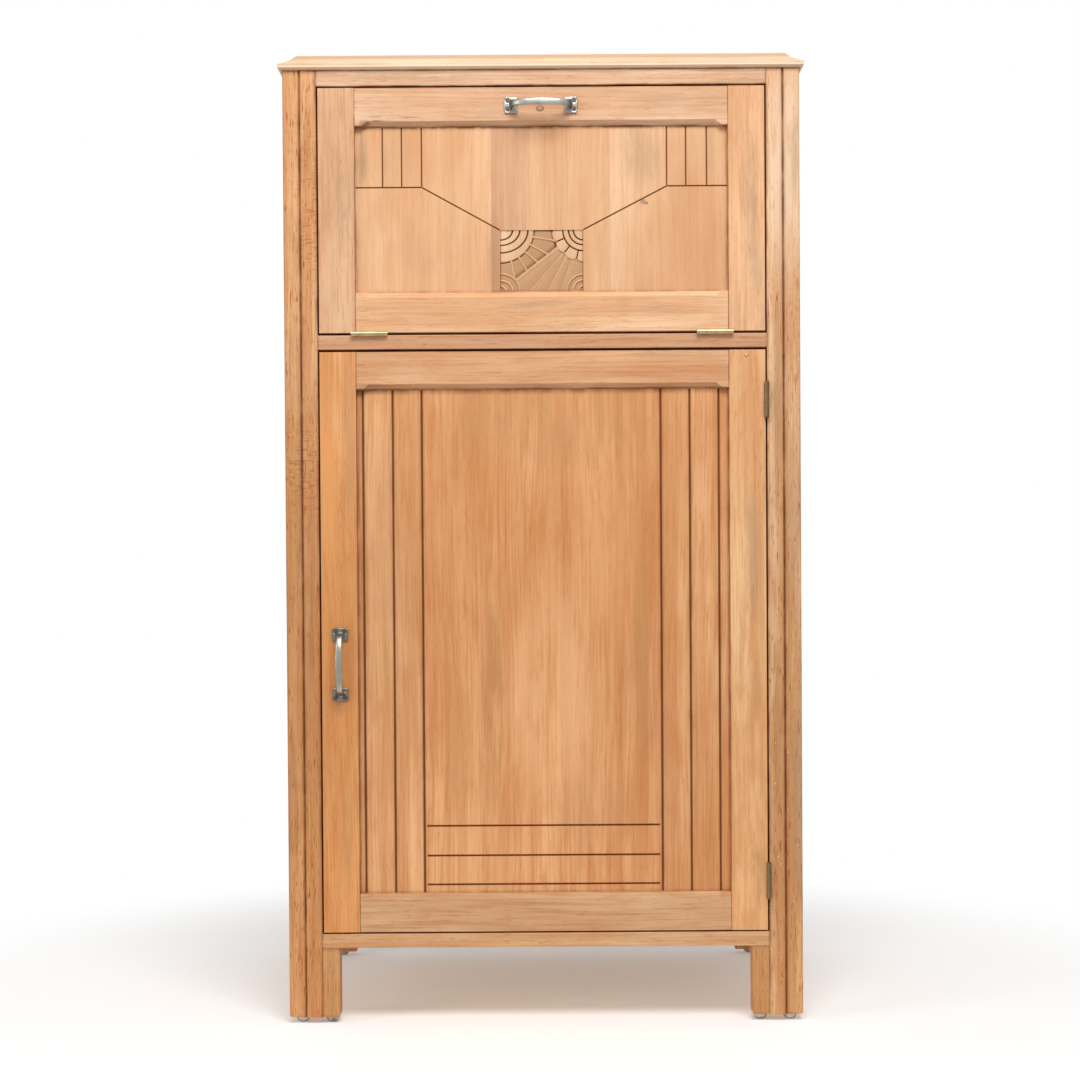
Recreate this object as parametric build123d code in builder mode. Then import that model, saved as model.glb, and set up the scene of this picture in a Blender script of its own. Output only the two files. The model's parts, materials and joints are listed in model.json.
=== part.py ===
from build123d import *
import os
from math import atan, atan2, cos, degrees, hypot, radians, sin, tan

# A free-standing wooden icebox: ice above behind a drop front, food below behind a tall
# door, cork and zinc inside. X runs to the right, Y to the back, Z up. The origin is on
# the floor, below the middle of the whole object. All sizes are in millimetres.

os.makedirs("parts", exist_ok=True)

# ---------------------------------------------------------------- whole case
case_width = 620.0
case_depth = 440.0
case_height = 1146.0  # underside of the top board
glide_height = 7.0
pull_projection = 22.0

front_y = (pull_projection - case_depth) / 2  # front face of the posts
half_width = case_width / 2

# ---------------------------------------------------------------- top board
top_thickness = 22.0
top_overhang = 5.5
nose_bottom = 3.0
nose_top = 6.5
bevel_inset = 13.5
bevel_top = 14.5
field_inset = 21.0
nose_softening = 1.0

# ---------------------------------------------------------------- posts, legs and rails
# The doors shut flush with the posts, so door and gasket set how thick the posts are.
door_thickness = 22.0
gasket_thickness = 2.5
gasket_play = 0.5
post_thickness = door_thickness + gasket_thickness + gasket_play
post_width = 40.0
post_groove_width = 3.6
post_groove_depth = 3.0
arris_softening = 1.2
foot_softening = 4.0
leg_block_width = 21.0
leg_height = 91.0  # underside of the bottom rail
top_rail_height = 19.0
mid_rail_height = 17.0
bottom_rail_height = 17.0
drop_opening_height = 298.0
rail_softening = 0.8

opening_half = half_width - post_width
top_rail_bottom = case_height - top_rail_height
mid_rail_top = top_rail_bottom - drop_opening_height
mid_rail_bottom = mid_rail_top - mid_rail_height
bottom_rail_top = leg_height + bottom_rail_height

# ---------------------------------------------------------------- sides and back
side_rail_height = 60.0
side_rail_thickness = 17.0
side_panel_thickness = 8.0
side_panel_inner_gap = 0.5
side_tongue = 7.0
groove_clearance = 0.2
back_board_thickness = 10.0
back_board_count = 5
back_board_gap = 1.0
back_rail_height = 40.0
back_rail_thickness = 25.0

# ---------------------------------------------------------------- inner box
strip_thickness = 10.0
joint_gap = 0.1  # between pieces that butt together inside one set
side_cork = 36.0
liner_sheet = 1.0
floor_board_thickness = 12.0
floor_cork = 30.0
back_cork = 35.0
top_cork_clearance = 0.5
divider_board_thickness = 18.0
divider_below_rail = 6.0  # from the underside of the mid rail down to the board's
ice_floor_cork = 22.0
food_ceiling_cork = 15.0
ice_headroom = 37.0  # from the ice liner's top sheet to the top board

inner_half = half_width - side_rail_thickness
liner_half = inner_half - side_cork
liner_inner_half = liner_half - liner_sheet
divider_board_bottom = mid_rail_bottom - divider_below_rail
strip_front = post_thickness
liner_front = strip_front + strip_thickness
liner_back = case_depth - back_board_thickness - back_cork
food_floor = bottom_rail_top + floor_cork + liner_sheet
food_ceiling = divider_board_bottom - food_ceiling_cork - liner_sheet
divider_board_top = divider_board_bottom + divider_board_thickness
ice_floor = divider_board_top + ice_floor_cork + liner_sheet
ice_ceiling = case_height - ice_headroom - liner_sheet

# ---------------------------------------------------------------- air flue and drain
flue_half_width = 180.0
flue_depth = 29.0
flue_upstand = 12.0
flue_sheet = 1.0
drain_from_side = 31.0  # from the liner's left wall to the middle of the pipe
drain_from_back = 22.0
drain_radius = 11.0
drain_bore_radius = 9.0
drain_clearance = 0.6
drain_flange_radius = 18.0
drain_flange_thickness = 1.5
drain_outlet_z = 45.0
spigot_radius = 12.5
spigot_length = 40.0
strainer_radius = 16.0
strainer_thickness = 1.5
strainer_hole_radius = 1.5
strainer_ring_radius = 4.5
strainer_ring_holes = 6

drain_x = -liner_inner_half + drain_from_side

# ---------------------------------------------------------------- rack, shelves
rack_side_clearance = 21.0
rack_front = 60.0
rack_slat_width = 30.0
rack_slat_thickness = 10.0
rack_slat_gap = 14.0
rack_slat_count = 7
rack_bearer_height = 12.0
rack_bearer_width = 18.0
shelf_rises = (201.0, 421.0)  # undersides of the runners above the food floor
shelf_front = 60.0
shelf_back = 346.0
shelf_side_clearance = 6.0
shelf_rod_radius = 3.0
shelf_wire_radius = 1.5
shelf_wire_count = 18
shelf_corner_radius = 14.0
runner_width = 14.0
runner_height = 10.0

rack_half_width = liner_inner_half - rack_side_clearance
shelf_levels = [food_floor + rise for rise in shelf_rises]

# ---------------------------------------------------------------- doors
door_side_gap = 2.0
drop_gap_top = 2.0
drop_gap_bottom = 3.0
lower_gap_top = 3.0
lower_gap_bottom = 2.0
stile_width = 44.0
drop_rail_top = 46.0
drop_rail_bottom = 48.0
lower_rail_top = 45.0
lower_rail_bottom = 46.0
panel_recess = 7.0
panel_thickness = 8.0
panel_tongue = 8.0
panel_clearance = 0.3
chamfer_size = 6.0
chamfer_stop = 15.0  # from the stile to the first full width
chamfer_runout = 7.0
frame_softening = 0.8
plug_depth = 28.0
plug_side_clearance = 10.0
plug_end_clearance = 9.0
tray_sheet = 1.0
gasket_width = 9.0
gasket_edge = 2.0

door_half = opening_half - door_side_gap
drop_low = mid_rail_top + drop_gap_bottom
drop_high = top_rail_bottom - drop_gap_top
lower_low = bottom_rail_top + lower_gap_bottom
lower_high = mid_rail_bottom - lower_gap_top
panel_half = door_half - stile_width
plug_half = liner_inner_half - plug_side_clearance

# ---------------------------------------------------------------- carving and reeds
groove_flank = 0.45  # how far a flank leans in, as a share of the groove's width
drop_groove_width = 2.2
drop_groove_depth = 1.6
drop_flutes_left = (33.0, 56.0, 80.0)  # from the left stile
drop_flutes_right = (25.0, 50.0, 73.0)  # from the right stile
drop_flute_length = 72.0
tile_width = 100.0
tile_height = 73.0
tile_thickness = 6.0
tile_clearance = 0.2
tile_above_rail = 2.0
tile_ring_radii = (11.0, 18.0, 26.0)
tile_ray_angles = (14.0, 28.0, 42.0, 57.0, 72.0)
tile_ray_start = 33.0
tile_ray_length = 34.0
reed_width = 3.4
reed_depth = 2.6
reeds_left = (7.0, 43.0, 78.0)
reeds_right = (12.0, 47.0, 82.0)
bar_heights = (10.0, 45.0, 81.0)  # above the bottom rail
bar_inset = 3.0

# ---------------------------------------------------------------- pulls and screws
pull_length = 89.0
pull_plate_length = 16.5
pull_plate_width = 20.0
pull_plate_thickness = 2.4
pull_plate_corner = 4.0
pull_bar_width = 8.8
pull_bar_thickness = 5.0
pull_bar_rounding = 2.0
pull_neck_in = 9.0  # from the plate's outer end to the foot of the neck
pull_shoulder_in = 17.0
pull_bend = 9.0
pull_screw_spread = 10.5
pull_screw_in = 4.6
drop_pull_below_top = 22.0
lower_pull_from_edge = 22.5
lower_pull_above_floor = 433.5
screw_radius = 1.4
screw_head_radius = 2.5
screw_hole_clearance = 0.1
pull_screw_length = 14.0
pull_hole_spare = 2.4  # deeper than the screw
screw_slot_width = 0.7
screw_slot_depth = 0.5
countersink_angle = 82.0
dowel_radius = 3.0
dowel_from_edge = 23.0
dowel_below_top = 6.0
dowel_length = 14.0

# ---------------------------------------------------------------- hinges
hinge_length = 42.0
hinge_leaf_depth = 20.0
hinge_leaf_gap = 0.2
hinge_leaf_setback = 0.3
knuckle_radius = 3.0
knuckle_gap = 0.3
pin_radius = 1.5
pin_clearance = 0.05
pin_forward = 3.2  # from the face of the case to the pin
pin_tip = 1.0
drop_hinge_from_stile = 16.5  # from the stile's inner edge to the hinge's middle
lower_hinge_inset = 60.0  # from the door's ends
hinge_screw_spread = 24.0
hinge_screw_depth = 12.0
hinge_screw_length = 12.0
hinge_hole_depth = 16.4
pin_head_radius = 2.25

# ---------------------------------------------------------------- folding stays
stay_cabinet_pivot = (60.0, 110.0)  # back from and up from the drop front's hinge pin
stay_door_pivot = (45.0, 130.0)
stay_width = 10.0
stay_thickness = 2.0
stay_stud_radius = 2.5
stay_stud_clearance = 0.05
stay_head_radius = 4.5
stay_rivet_head = 0.8
stay_plate_length = 26.0
stay_plate_height = 15.0
stay_plate_thickness = 1.4
stay_rear_outer = 2.5  # from the liner wall to the rear arm
stay_side_gap = 1.5  # between the rear arm and the front arm

# ---------------------------------------------------------------- spring catches, glides
catch_sheet = 1.0
catch_width = 14.0
catch_gap = 0.6
catch_foot_back = 35.0  # behind the liner's front edge, as the next three
catch_foot_front = 19.0
catch_crest = 7.0
catch_curl = 2.0
catch_curl_fall = 3.4
catch_from_plug_edge = 22.0
glide_radius = 8.5
glide_flat_radius = 3.0
glide_nail_radius = 2.0
glide_nail_length = 14.0
glide_belly_radius = 7.0
glide_belly_height = 2.5
glide_outer_inset = 15.0  # from the case's side
glide_inner_inset = 51.0
glide_rear_inset = 20.0

glide_outer_x = half_width - glide_outer_inset
glide_inner_x = half_width - glide_inner_inset
glide_rear_x = half_width - glide_rear_inset

# ---------------------------------------------------------------- helpers


def depth(d):
    """Y of a place that is d behind the front face of the case."""
    return front_y + d


def face_plane(d):
    """The plane d behind the front face, seen from the front, X right and Z up."""
    return Plane.XZ.offset(-depth(d))


def inward_plane(d):
    """The same plane with its normal to the back; its second axis points down."""
    return Plane(origin=(0, depth(d), 0), x_dir=(1, 0, 0), z_dir=(0, 1, 0))


def block(x, d, z):
    """Add a block between two X, two depths and two heights to the current part."""
    with BuildSketch(Plane.XY.offset(z[0])) as outline:
        with Locations(((x[0] + x[1]) / 2, depth((d[0] + d[1]) / 2))):
            Rectangle(x[1] - x[0], d[1] - d[0])
    extrude(outline.sketch, amount=z[1] - z[0])


def cut_block(x, d, z):
    """Cut a block between two X, two depths and two heights from the current part."""
    with BuildSketch(Plane.XY.offset(z[0])) as outline:
        with Locations(((x[0] + x[1]) / 2, depth((d[0] + d[1]) / 2))):
            Rectangle(x[1] - x[0], d[1] - d[0])
    extrude(outline.sketch, amount=z[1] - z[0], mode=Mode.SUBTRACT)


def cut_round(x, d, radius, z):
    """Cut an upright round hole from the current part."""
    with BuildSketch(Plane.XY.offset(z[0])) as outline:
        with Locations((x, depth(d))):
            Circle(radius)
    extrude(outline.sketch, amount=z[1] - z[0], mode=Mode.SUBTRACT)


def side_span(side, near, far):
    """Two X, low first, for a piece between two distances from the middle on one side."""
    return (near, far) if side > 0 else (-far, -near)


def cut_groove(start, end, width, cut_depth, face):
    """Cut a V-groove from start to end (X, Z) into the face that lies face behind."""
    run = end[0] - start[0]
    fall = start[1] - end[1]
    with BuildSketch(inward_plane(face)) as outline:
        with Locations(((start[0] + end[0]) / 2, -(start[1] + end[1]) / 2)):
            Rectangle(hypot(run, fall), width, rotation=degrees(atan2(fall, run)))
    slope = degrees(atan(groove_flank * width / cut_depth))
    extrude(outline.sketch, amount=cut_depth, taper=slope, mode=Mode.SUBTRACT)


def cut_stopped_chamfer(edge_z, into):
    """Chamfer the front arris of a door rail, stopped short of the stiles at both ends."""
    full = panel_half - chamfer_stop
    spread = 1.0
    stations = (
        (-full - chamfer_runout, 0.0),
        (-full, chamfer_size),
        (full, chamfer_size),
        (full + chamfer_runout, 0.0),
    )
    sections = []
    for x, size in stations:
        with BuildSketch(Plane.YZ.offset(x)) as section:
            Polygon(
                (depth(size + spread), edge_z - into * spread),
                (depth(-spread), edge_z + into * (size + spread)),
                (depth(-spread), edge_z - into * spread),
                align=None,
            )
        sections.append(section.sketch)
    loft(sections, ruled=True, mode=Mode.SUBTRACT)


def soften(part, axis, radius):
    """Round the front arrises of a part that run along one axis."""
    fillet(part.edges().filter_by(axis).group_by(Axis.Y)[0], radius=radius)


def save(piece, name):
    """Label a finished piece and write its STEP file."""
    piece.part.label = name
    export_step(piece.part, "parts/" + name + ".step")


def cut_screw_holes(places, length):
    """Countersunk screw holes at planes whose normals point out of the work."""
    with Locations(*places):
        CounterSinkHole(
            radius=screw_radius + screw_hole_clearance,
            counter_sink_radius=screw_head_radius + screw_hole_clearance,
            depth=length,
            counter_sink_angle=countersink_angle,
        )


def add_screws(places, length):
    """Countersunk slotted screws at planes whose normals point out of the work."""
    head_height = (screw_head_radius - screw_radius) / tan(radians(countersink_angle / 2))
    with Locations(*places):
        Cylinder(screw_radius, length, align=(Align.CENTER, Align.CENTER, Align.MAX))
        Cone(
            screw_radius,
            screw_head_radius,
            head_height,
            align=(Align.CENTER, Align.CENTER, Align.MAX),
        )
        Box(
            2 * screw_head_radius,
            screw_slot_width,
            2 * screw_slot_depth,
            mode=Mode.SUBTRACT,
        )


# ---------------------------------------------------------------- top board
top_edge = (
    (top_overhang, 0.0),
    (0.0, nose_bottom),
    (0.0, nose_top),
    (bevel_inset, bevel_top),
    (field_inset, top_thickness),
)
tip_half = half_width + top_overhang
tip_front = depth(-top_overhang)
back_y = depth(case_depth)

with BuildPart() as top_board:
    with BuildSketch(Plane.XZ.offset(-back_y)) as across:
        left = [(-tip_half + inset, case_height + rise) for inset, rise in top_edge]
        right = [(tip_half - inset, case_height + rise) for inset, rise in reversed(top_edge)]
        Polygon(*left, *right, align=None)
        noses = across.vertices().filter_by(lambda v: abs(abs(v.X) - tip_half) < nose_softening)
        fillet(noses, radius=nose_softening)
    extrude(amount=back_y - tip_front)
    with BuildSketch(Plane.YZ.offset(-tip_half)) as along:
        front = [(tip_front + inset, case_height + rise) for inset, rise in top_edge]
        Polygon(
            *front, (back_y, case_height + top_thickness), (back_y, case_height), align=None
        )
        noses = along.vertices().filter_by(lambda v: v.Y < tip_front + nose_softening)
        fillet(noses, radius=nose_softening)
    extrude(amount=2 * tip_half, mode=Mode.INTERSECT)
save(top_board, "top_board")

# ---------------------------------------------------------------- hinge and screw places
drop_axis_z = mid_rail_top + drop_gap_bottom / 2
lower_axis_x = opening_half - door_side_gap / 2
axis_y = depth(-pin_forward)

# In each hinge plane the first axis runs back, the second points at the door and the
# normal lies along the pin.
drop_hinges = [
    Plane(origin=(x, axis_y, drop_axis_z), x_dir=(0, 1, 0), z_dir=(1, 0, 0))
    for x in (-panel_half + drop_hinge_from_stile, panel_half - drop_hinge_from_stile)
]
lower_hinges = [
    Plane(origin=(lower_axis_x, axis_y, z), x_dir=(0, 1, 0), z_dir=(0, 0, 1))
    for z in (lower_low + lower_hinge_inset, lower_high - lower_hinge_inset)
]


def hinge_screw_places(hinge, toward_door):
    """Planes on the inner face of one leaf; their normals point away from its wood."""
    places = []
    for along in (-hinge_screw_spread / 2, hinge_screw_spread / 2):
        local = (pin_forward + hinge_screw_depth, toward_door * hinge_leaf_gap / 2, along)
        normal = -toward_door * hinge.y_dir
        places.append(Plane(hinge.from_local_coords(local), x_dir=hinge.z_dir, z_dir=normal))
    return places


drop_rail_screws = [p for hinge in drop_hinges for p in hinge_screw_places(hinge, -1)]
drop_door_screws = [p for hinge in drop_hinges for p in hinge_screw_places(hinge, 1)]
lower_post_screws = [p for hinge in lower_hinges for p in hinge_screw_places(hinge, -1)]
lower_door_hinge_screws = [p for hinge in lower_hinges for p in hinge_screw_places(hinge, 1)]

glide_front_places = [
    (side * x, depth(post_thickness / 2)) for side in (-1, 1) for x in (glide_outer_x, glide_inner_x)
]
glide_rear_places = [(side * glide_rear_x, depth(case_depth - post_thickness / 2)) for side in (-1, 1)]


def cut_glide_holes(places):
    """Nail holes up into a leg."""
    with Locations(*[Plane(origin=(x, y, glide_height), z_dir=(0, 0, -1)) for x, y in places]):
        Hole(glide_nail_radius, depth=glide_nail_length)


# ---------------------------------------------------------------- front posts
bottom_side_rail_top = leg_height + side_rail_height
top_side_rail_bottom = case_height - side_rail_height
side_panel_inner = inner_half + side_panel_inner_gap
side_panel_outer = side_panel_inner + side_panel_thickness
slot_depth = side_tongue + groove_clearance
panel_slot_z = (bottom_side_rail_top - slot_depth, top_side_rail_bottom + slot_depth)


def cut_panel_slot(side, d, z):
    """A slot for a side panel's edge, in a post or a side rail."""
    slot = side_span(side, side_panel_inner - groove_clearance, side_panel_outer + groove_clearance)
    cut_block(slot, d, z)


def front_post(side):
    """A corner post, running down into the leg, with a V-groove along its middle."""
    outer = side * half_width
    inner = side * opening_half
    middle = (outer + inner) / 2
    half_groove = post_groove_width / 2
    with BuildPart() as post:
        with BuildSketch(Plane.XY.offset(glide_height)) as section:
            Polygon(
                (outer, depth(0)),
                (middle + side * half_groove, depth(0)),
                (middle, depth(post_groove_depth)),
                (middle - side * half_groove, depth(0)),
                (inner, depth(0)),
                (inner, depth(post_thickness)),
                (outer, depth(post_thickness)),
                align=None,
            )
            shoulders = section.vertices().filter_by(lambda v: v.Y < depth(0) + 0.1)
            fillet(shoulders, radius=arris_softening)
        extrude(amount=case_height - glide_height)
        foot = post.edges().filter_by(Axis.Y).group_by(Axis.Z)[0]
        fillet(foot.sort_by(Axis.X)[0 if side < 0 else -1], radius=foot_softening)
        cut_panel_slot(side, (post_thickness - slot_depth, post_thickness), panel_slot_z)
        cut_glide_holes([(side * glide_outer_x, depth(post_thickness / 2))])
        if side > 0:
            cut_screw_holes(lower_post_screws, hinge_hole_depth)
    return post


for side, hand in ((-1, "left"), (1, "right")):
    save(front_post(side), "front_post_" + hand)

# ---------------------------------------------------------------- leg blocks
with BuildPart() as leg_blocks:
    for side in (-1, 1):
        block(
            side_span(side, opening_half - leg_block_width, opening_half),
            (0, post_thickness),
            (glide_height, leg_height),
        )
    soften(leg_blocks, Axis.Z, arris_softening)
    feet = leg_blocks.edges().filter_by(Axis.Y).group_by(Axis.Z)[0]
    fillet([feet.sort_by(Axis.X)[1], feet.sort_by(Axis.X)[2]], radius=foot_softening)
    cut_glide_holes([place for place in glide_front_places if abs(place[0]) < opening_half])
save(leg_blocks, "leg_blocks")

# ---------------------------------------------------------------- rear posts
with BuildPart() as rear_posts:
    for side in (-1, 1):
        block(
            side_span(side, opening_half, half_width),
            (case_depth - post_thickness, case_depth),
            (glide_height, case_height),
        )
        rear_slot = (case_depth - post_thickness, case_depth - post_thickness + slot_depth)
        cut_panel_slot(side, rear_slot, panel_slot_z)
    cut_glide_holes(glide_rear_places)
save(rear_posts, "rear_posts")


# ---------------------------------------------------------------- front rails
def front_rail(low, high, screws=()):
    """A rail of the case between the two front posts."""
    with BuildPart() as rail:
        block((-opening_half, opening_half), (0, post_thickness), (low, high))
        soften(rail, Axis.X, rail_softening)
        if screws:
            cut_screw_holes(screws, hinge_hole_depth)
    return rail


save(front_rail(top_rail_bottom, case_height), "top_rail")
save(front_rail(mid_rail_bottom, mid_rail_top, drop_rail_screws), "mid_rail")
save(front_rail(leg_height, bottom_rail_top), "bottom_rail")

# ---------------------------------------------------------------- side rails and panels
side_rail_span = (post_thickness, case_depth - post_thickness)
with BuildPart() as side_rails:
    for side in (-1, 1):
        across_rail = side_span(side, inner_half, half_width)
        block(across_rail, side_rail_span, (leg_height, bottom_side_rail_top))
        block(across_rail, side_rail_span, (top_side_rail_bottom, case_height))
        cut_panel_slot(side, side_rail_span, (panel_slot_z[0], bottom_side_rail_top))
        cut_panel_slot(side, side_rail_span, (top_side_rail_bottom, panel_slot_z[1]))
save(side_rails, "side_rails")

with BuildPart() as side_panels:
    for side in (-1, 1):
        block(
            side_span(side, side_panel_inner, side_panel_outer),
            (post_thickness - side_tongue, case_depth - post_thickness + side_tongue),
            (bottom_side_rail_top - side_tongue, top_side_rail_bottom + side_tongue),
        )
save(side_panels, "side_panels")

# ---------------------------------------------------------------- back boards and rails
board_pitch = 2 * opening_half / back_board_count
with BuildPart() as back_boards:
    for number in range(back_board_count):
        low_x = -opening_half + number * board_pitch
        block(
            (low_x + back_board_gap / 2, low_x + board_pitch - back_board_gap / 2),
            (case_depth - back_board_thickness, case_depth),
            (leg_height, case_height),
        )
save(back_boards, "back_boards")

back_rail_span = (
    case_depth - back_board_thickness - back_rail_thickness,
    case_depth - back_board_thickness,
)
with BuildPart() as back_rails:
    for low in (leg_height, case_height - back_rail_height):
        block((-opening_half, opening_half), back_rail_span, (low, low + back_rail_height))
save(back_rails, "back_rails")

# ---------------------------------------------------------------- floor, divider, drain way
drain_d = liner_back - drain_from_back
flue_front = liner_back - liner_sheet - flue_depth


def cut_drain_way(z):
    """The hole that a board or slab has for the drain pipe."""
    cut_round(drain_x, drain_d, drain_radius + drain_clearance, z)


def cut_flue_way(z):
    """The notch that a board or slab has at its back edge for the air flue."""
    cut_block((-flue_half_width, flue_half_width), (flue_front, liner_back), z)


with BuildPart() as floor_board:
    board = (bottom_rail_top - floor_board_thickness, bottom_rail_top)
    block((-inner_half, inner_half), (post_thickness, back_rail_span[0]), board)
    cut_drain_way(board)
save(floor_board, "floor_board")

with BuildPart() as divider_board:
    board = (divider_board_bottom, divider_board_top)
    block((-inner_half, inner_half), (liner_front, liner_back), board)
    cut_flue_way(board)
    cut_drain_way(board)
save(divider_board, "divider_board")

# The strips behind the posts and rails that both doors close against.
strip = (strip_front, liner_front)
strip_top = case_height - top_cork_clearance
crosspiece = (-liner_inner_half + joint_gap, liner_inner_half - joint_gap)
with BuildPart() as stop_strips:
    for side in (-1, 1):
        block(side_span(side, liner_inner_half, inner_half), strip, (bottom_rail_top, strip_top))
    block(crosspiece, strip, (bottom_rail_top, food_floor))
    block(crosspiece, strip, (food_ceiling, ice_floor))
    block(crosspiece, strip, (ice_ceiling, strip_top))
save(stop_strips, "stop_strips")

# ---------------------------------------------------------------- cork
with BuildPart() as wall_cork:
    for side in (-1, 1):
        across_slab = side_span(side, liner_half, inner_half)
        slab_span = (liner_front, back_rail_span[0])
        block(across_slab, slab_span, (bottom_rail_top, divider_board_bottom))
        block(across_slab, slab_span, (divider_board_top, strip_top))
    block(
        (-liner_half + joint_gap, liner_half - joint_gap),
        (liner_back, case_depth - back_board_thickness),
        (leg_height + back_rail_height, case_height - back_rail_height),
    )
save(wall_cork, "wall_cork")

with BuildPart() as level_cork:
    cork_half = (-liner_half, liner_half)
    block(cork_half, (liner_front, liner_back), (bottom_rail_top, food_floor - liner_sheet))
    block(cork_half, (liner_front, liner_back), (food_ceiling + liner_sheet, divider_board_bottom))
    block(cork_half, (liner_front, liner_back), (divider_board_top, ice_floor - liner_sheet))
    block(
        cork_half,
        (liner_front, liner_back),
        (ice_ceiling + liner_sheet, case_height - top_cork_clearance),
    )
    cut_drain_way((bottom_rail_top, food_floor))
    for level in (
        (food_ceiling, divider_board_bottom),
        (divider_board_top, ice_floor),
    ):
        cut_flue_way(level)
        cut_drain_way(level)
save(level_cork, "level_cork")


# ---------------------------------------------------------------- zinc liners and flue
def liner(low, high):
    """A zinc box, open at the front, from its inner floor to its inner ceiling."""
    with BuildPart() as box:
        block(
            (-liner_half, liner_half),
            (liner_front, liner_back),
            (low - liner_sheet, high + liner_sheet),
        )
        cut_block(
            (-liner_inner_half, liner_inner_half),
            (liner_front, liner_back - liner_sheet),
            (low, high),
        )
    return box


flue_cut = (-flue_half_width, flue_half_width)
flue_span = (flue_front, liner_back - liner_sheet)
ice_liner = liner(ice_floor, ice_ceiling)
with ice_liner:
    cut_block(flue_cut, flue_span, (ice_floor - liner_sheet, ice_floor))
    cut_drain_way((ice_floor - liner_sheet, ice_floor))
save(ice_liner, "ice_liner")

food_liner = liner(food_floor, food_ceiling)
with food_liner:
    cut_block(flue_cut, flue_span, (food_ceiling, food_ceiling + liner_sheet))
    cut_drain_way((food_ceiling, food_ceiling + liner_sheet))
    cut_drain_way((food_floor - liner_sheet, food_floor))
save(food_liner, "food_liner")

with BuildPart() as air_flue:
    flue_z = (food_ceiling, ice_floor + flue_upstand)
    block(flue_cut, flue_span, flue_z)
    cut_block(
        (-flue_half_width + flue_sheet, flue_half_width - flue_sheet),
        (flue_front + flue_sheet, liner_back - liner_sheet - flue_sheet),
        flue_z,
    )
save(air_flue, "air_flue")

# ---------------------------------------------------------------- drain
with BuildPart() as drain_pipe:
    flange_top = ice_floor + drain_flange_thickness
    with BuildSketch(Plane.XY.offset(drain_outlet_z)):
        with Locations((drain_x, depth(drain_d))):
            Circle(drain_radius)
    extrude(amount=flange_top - drain_outlet_z)
    with BuildSketch(Plane.XY.offset(drain_outlet_z)):
        with Locations((drain_x, depth(drain_d))):
            Circle(spigot_radius)
    extrude(amount=spigot_length)
    with BuildSketch(Plane.XY.offset(ice_floor)):
        with Locations((drain_x, depth(drain_d))):
            Circle(drain_flange_radius)
    extrude(amount=drain_flange_thickness)
    cut_round(drain_x, drain_d, drain_bore_radius, (drain_outlet_z, flange_top))
save(drain_pipe, "drain_pipe")

with BuildPart() as drain_strainer:
    with BuildSketch(Plane.XY.offset(flange_top)):
        with Locations((drain_x, depth(drain_d))):
            Circle(strainer_radius)
            for ring_radius, count in ((0.0, 1), (strainer_ring_radius, strainer_ring_holes)):
                with PolarLocations(ring_radius, count):
                    Circle(strainer_hole_radius, mode=Mode.SUBTRACT)
    extrude(amount=strainer_thickness)
save(drain_strainer, "drain_strainer")

# ---------------------------------------------------------------- ice rack
rack_pitch = rack_slat_width + rack_slat_gap
rack_back = rack_front + rack_slat_count * rack_pitch - rack_slat_gap
slat_low = ice_floor + rack_bearer_height
bearer_reach = rack_half_width - rack_bearer_width
with BuildPart() as ice_rack:
    for x in (-bearer_reach, 0, bearer_reach):
        block(
            (x - rack_bearer_width / 2, x + rack_bearer_width / 2),
            (rack_front, rack_back),
            (ice_floor, slat_low - joint_gap),
        )
    for number in range(rack_slat_count):
        slat_front = rack_front + number * rack_pitch
        block(
            (-rack_half_width, rack_half_width),
            (slat_front, slat_front + rack_slat_width),
            (slat_low, slat_low + rack_slat_thickness),
        )
save(ice_rack, "ice_rack")

# ---------------------------------------------------------------- wire shelves and runners
shelf_half = liner_inner_half - shelf_side_clearance
with BuildPart() as wire_shelves:
    for level in shelf_levels:
        rod_z = level + runner_height + shelf_rod_radius
        rod_half = shelf_half - shelf_rod_radius
        rod_front = depth(shelf_front + shelf_rod_radius)
        rod_back = depth(shelf_back - shelf_rod_radius)
        with BuildLine(Plane.XY.offset(rod_z)) as rim:
            FilletPolyline(
                (-rod_half, rod_front),
                (rod_half, rod_front),
                (rod_half, rod_back),
                (-rod_half, rod_back),
                radius=shelf_corner_radius,
                close=True,
            )
        with BuildSketch(Plane(origin=rim.line @ 0, z_dir=rim.line % 0)):
            Circle(shelf_rod_radius)
        sweep()
        wire_pitch = 2 * rod_half / (shelf_wire_count + 1)
        wires = [-rod_half + (n + 1) * wire_pitch for n in range(shelf_wire_count)]
        with BuildSketch(Plane.XZ.offset(-rod_back)):
            with Locations(*[(x, rod_z + shelf_rod_radius) for x in wires]):
                Circle(shelf_wire_radius)
        extrude(amount=rod_back - rod_front)
save(wire_shelves, "wire_shelves")

with BuildPart() as shelf_runners:
    for level in shelf_levels:
        for side in (-1, 1):
            block(
                side_span(side, liner_inner_half - runner_width, liner_inner_half),
                (shelf_front, shelf_back),
                (level, level + runner_height),
            )
save(shelf_runners, "shelf_runners")

# ---------------------------------------------------------------- glides
with BuildPart() as floor_glides:
    for x, y in glide_front_places + glide_rear_places:
        with BuildSketch(Plane.XZ.offset(-y)):
            with BuildLine():
                Polyline((x + glide_flat_radius, 0), (x, 0), (x, glide_height + glide_nail_length))
                Polyline(
                    (x, glide_height + glide_nail_length),
                    (x + glide_nail_radius, glide_height + glide_nail_length),
                    (x + glide_nail_radius, glide_height),
                    (x + glide_radius, glide_height),
                )
                ThreePointArc(
                    (x + glide_radius, glide_height),
                    (x + glide_belly_radius, glide_belly_height),
                    (x + glide_flat_radius, 0),
                )
            make_face()
        revolve(axis=Axis((x, y, 0), (0, 0, 1)))
save(floor_glides, "floor_glides")


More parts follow.
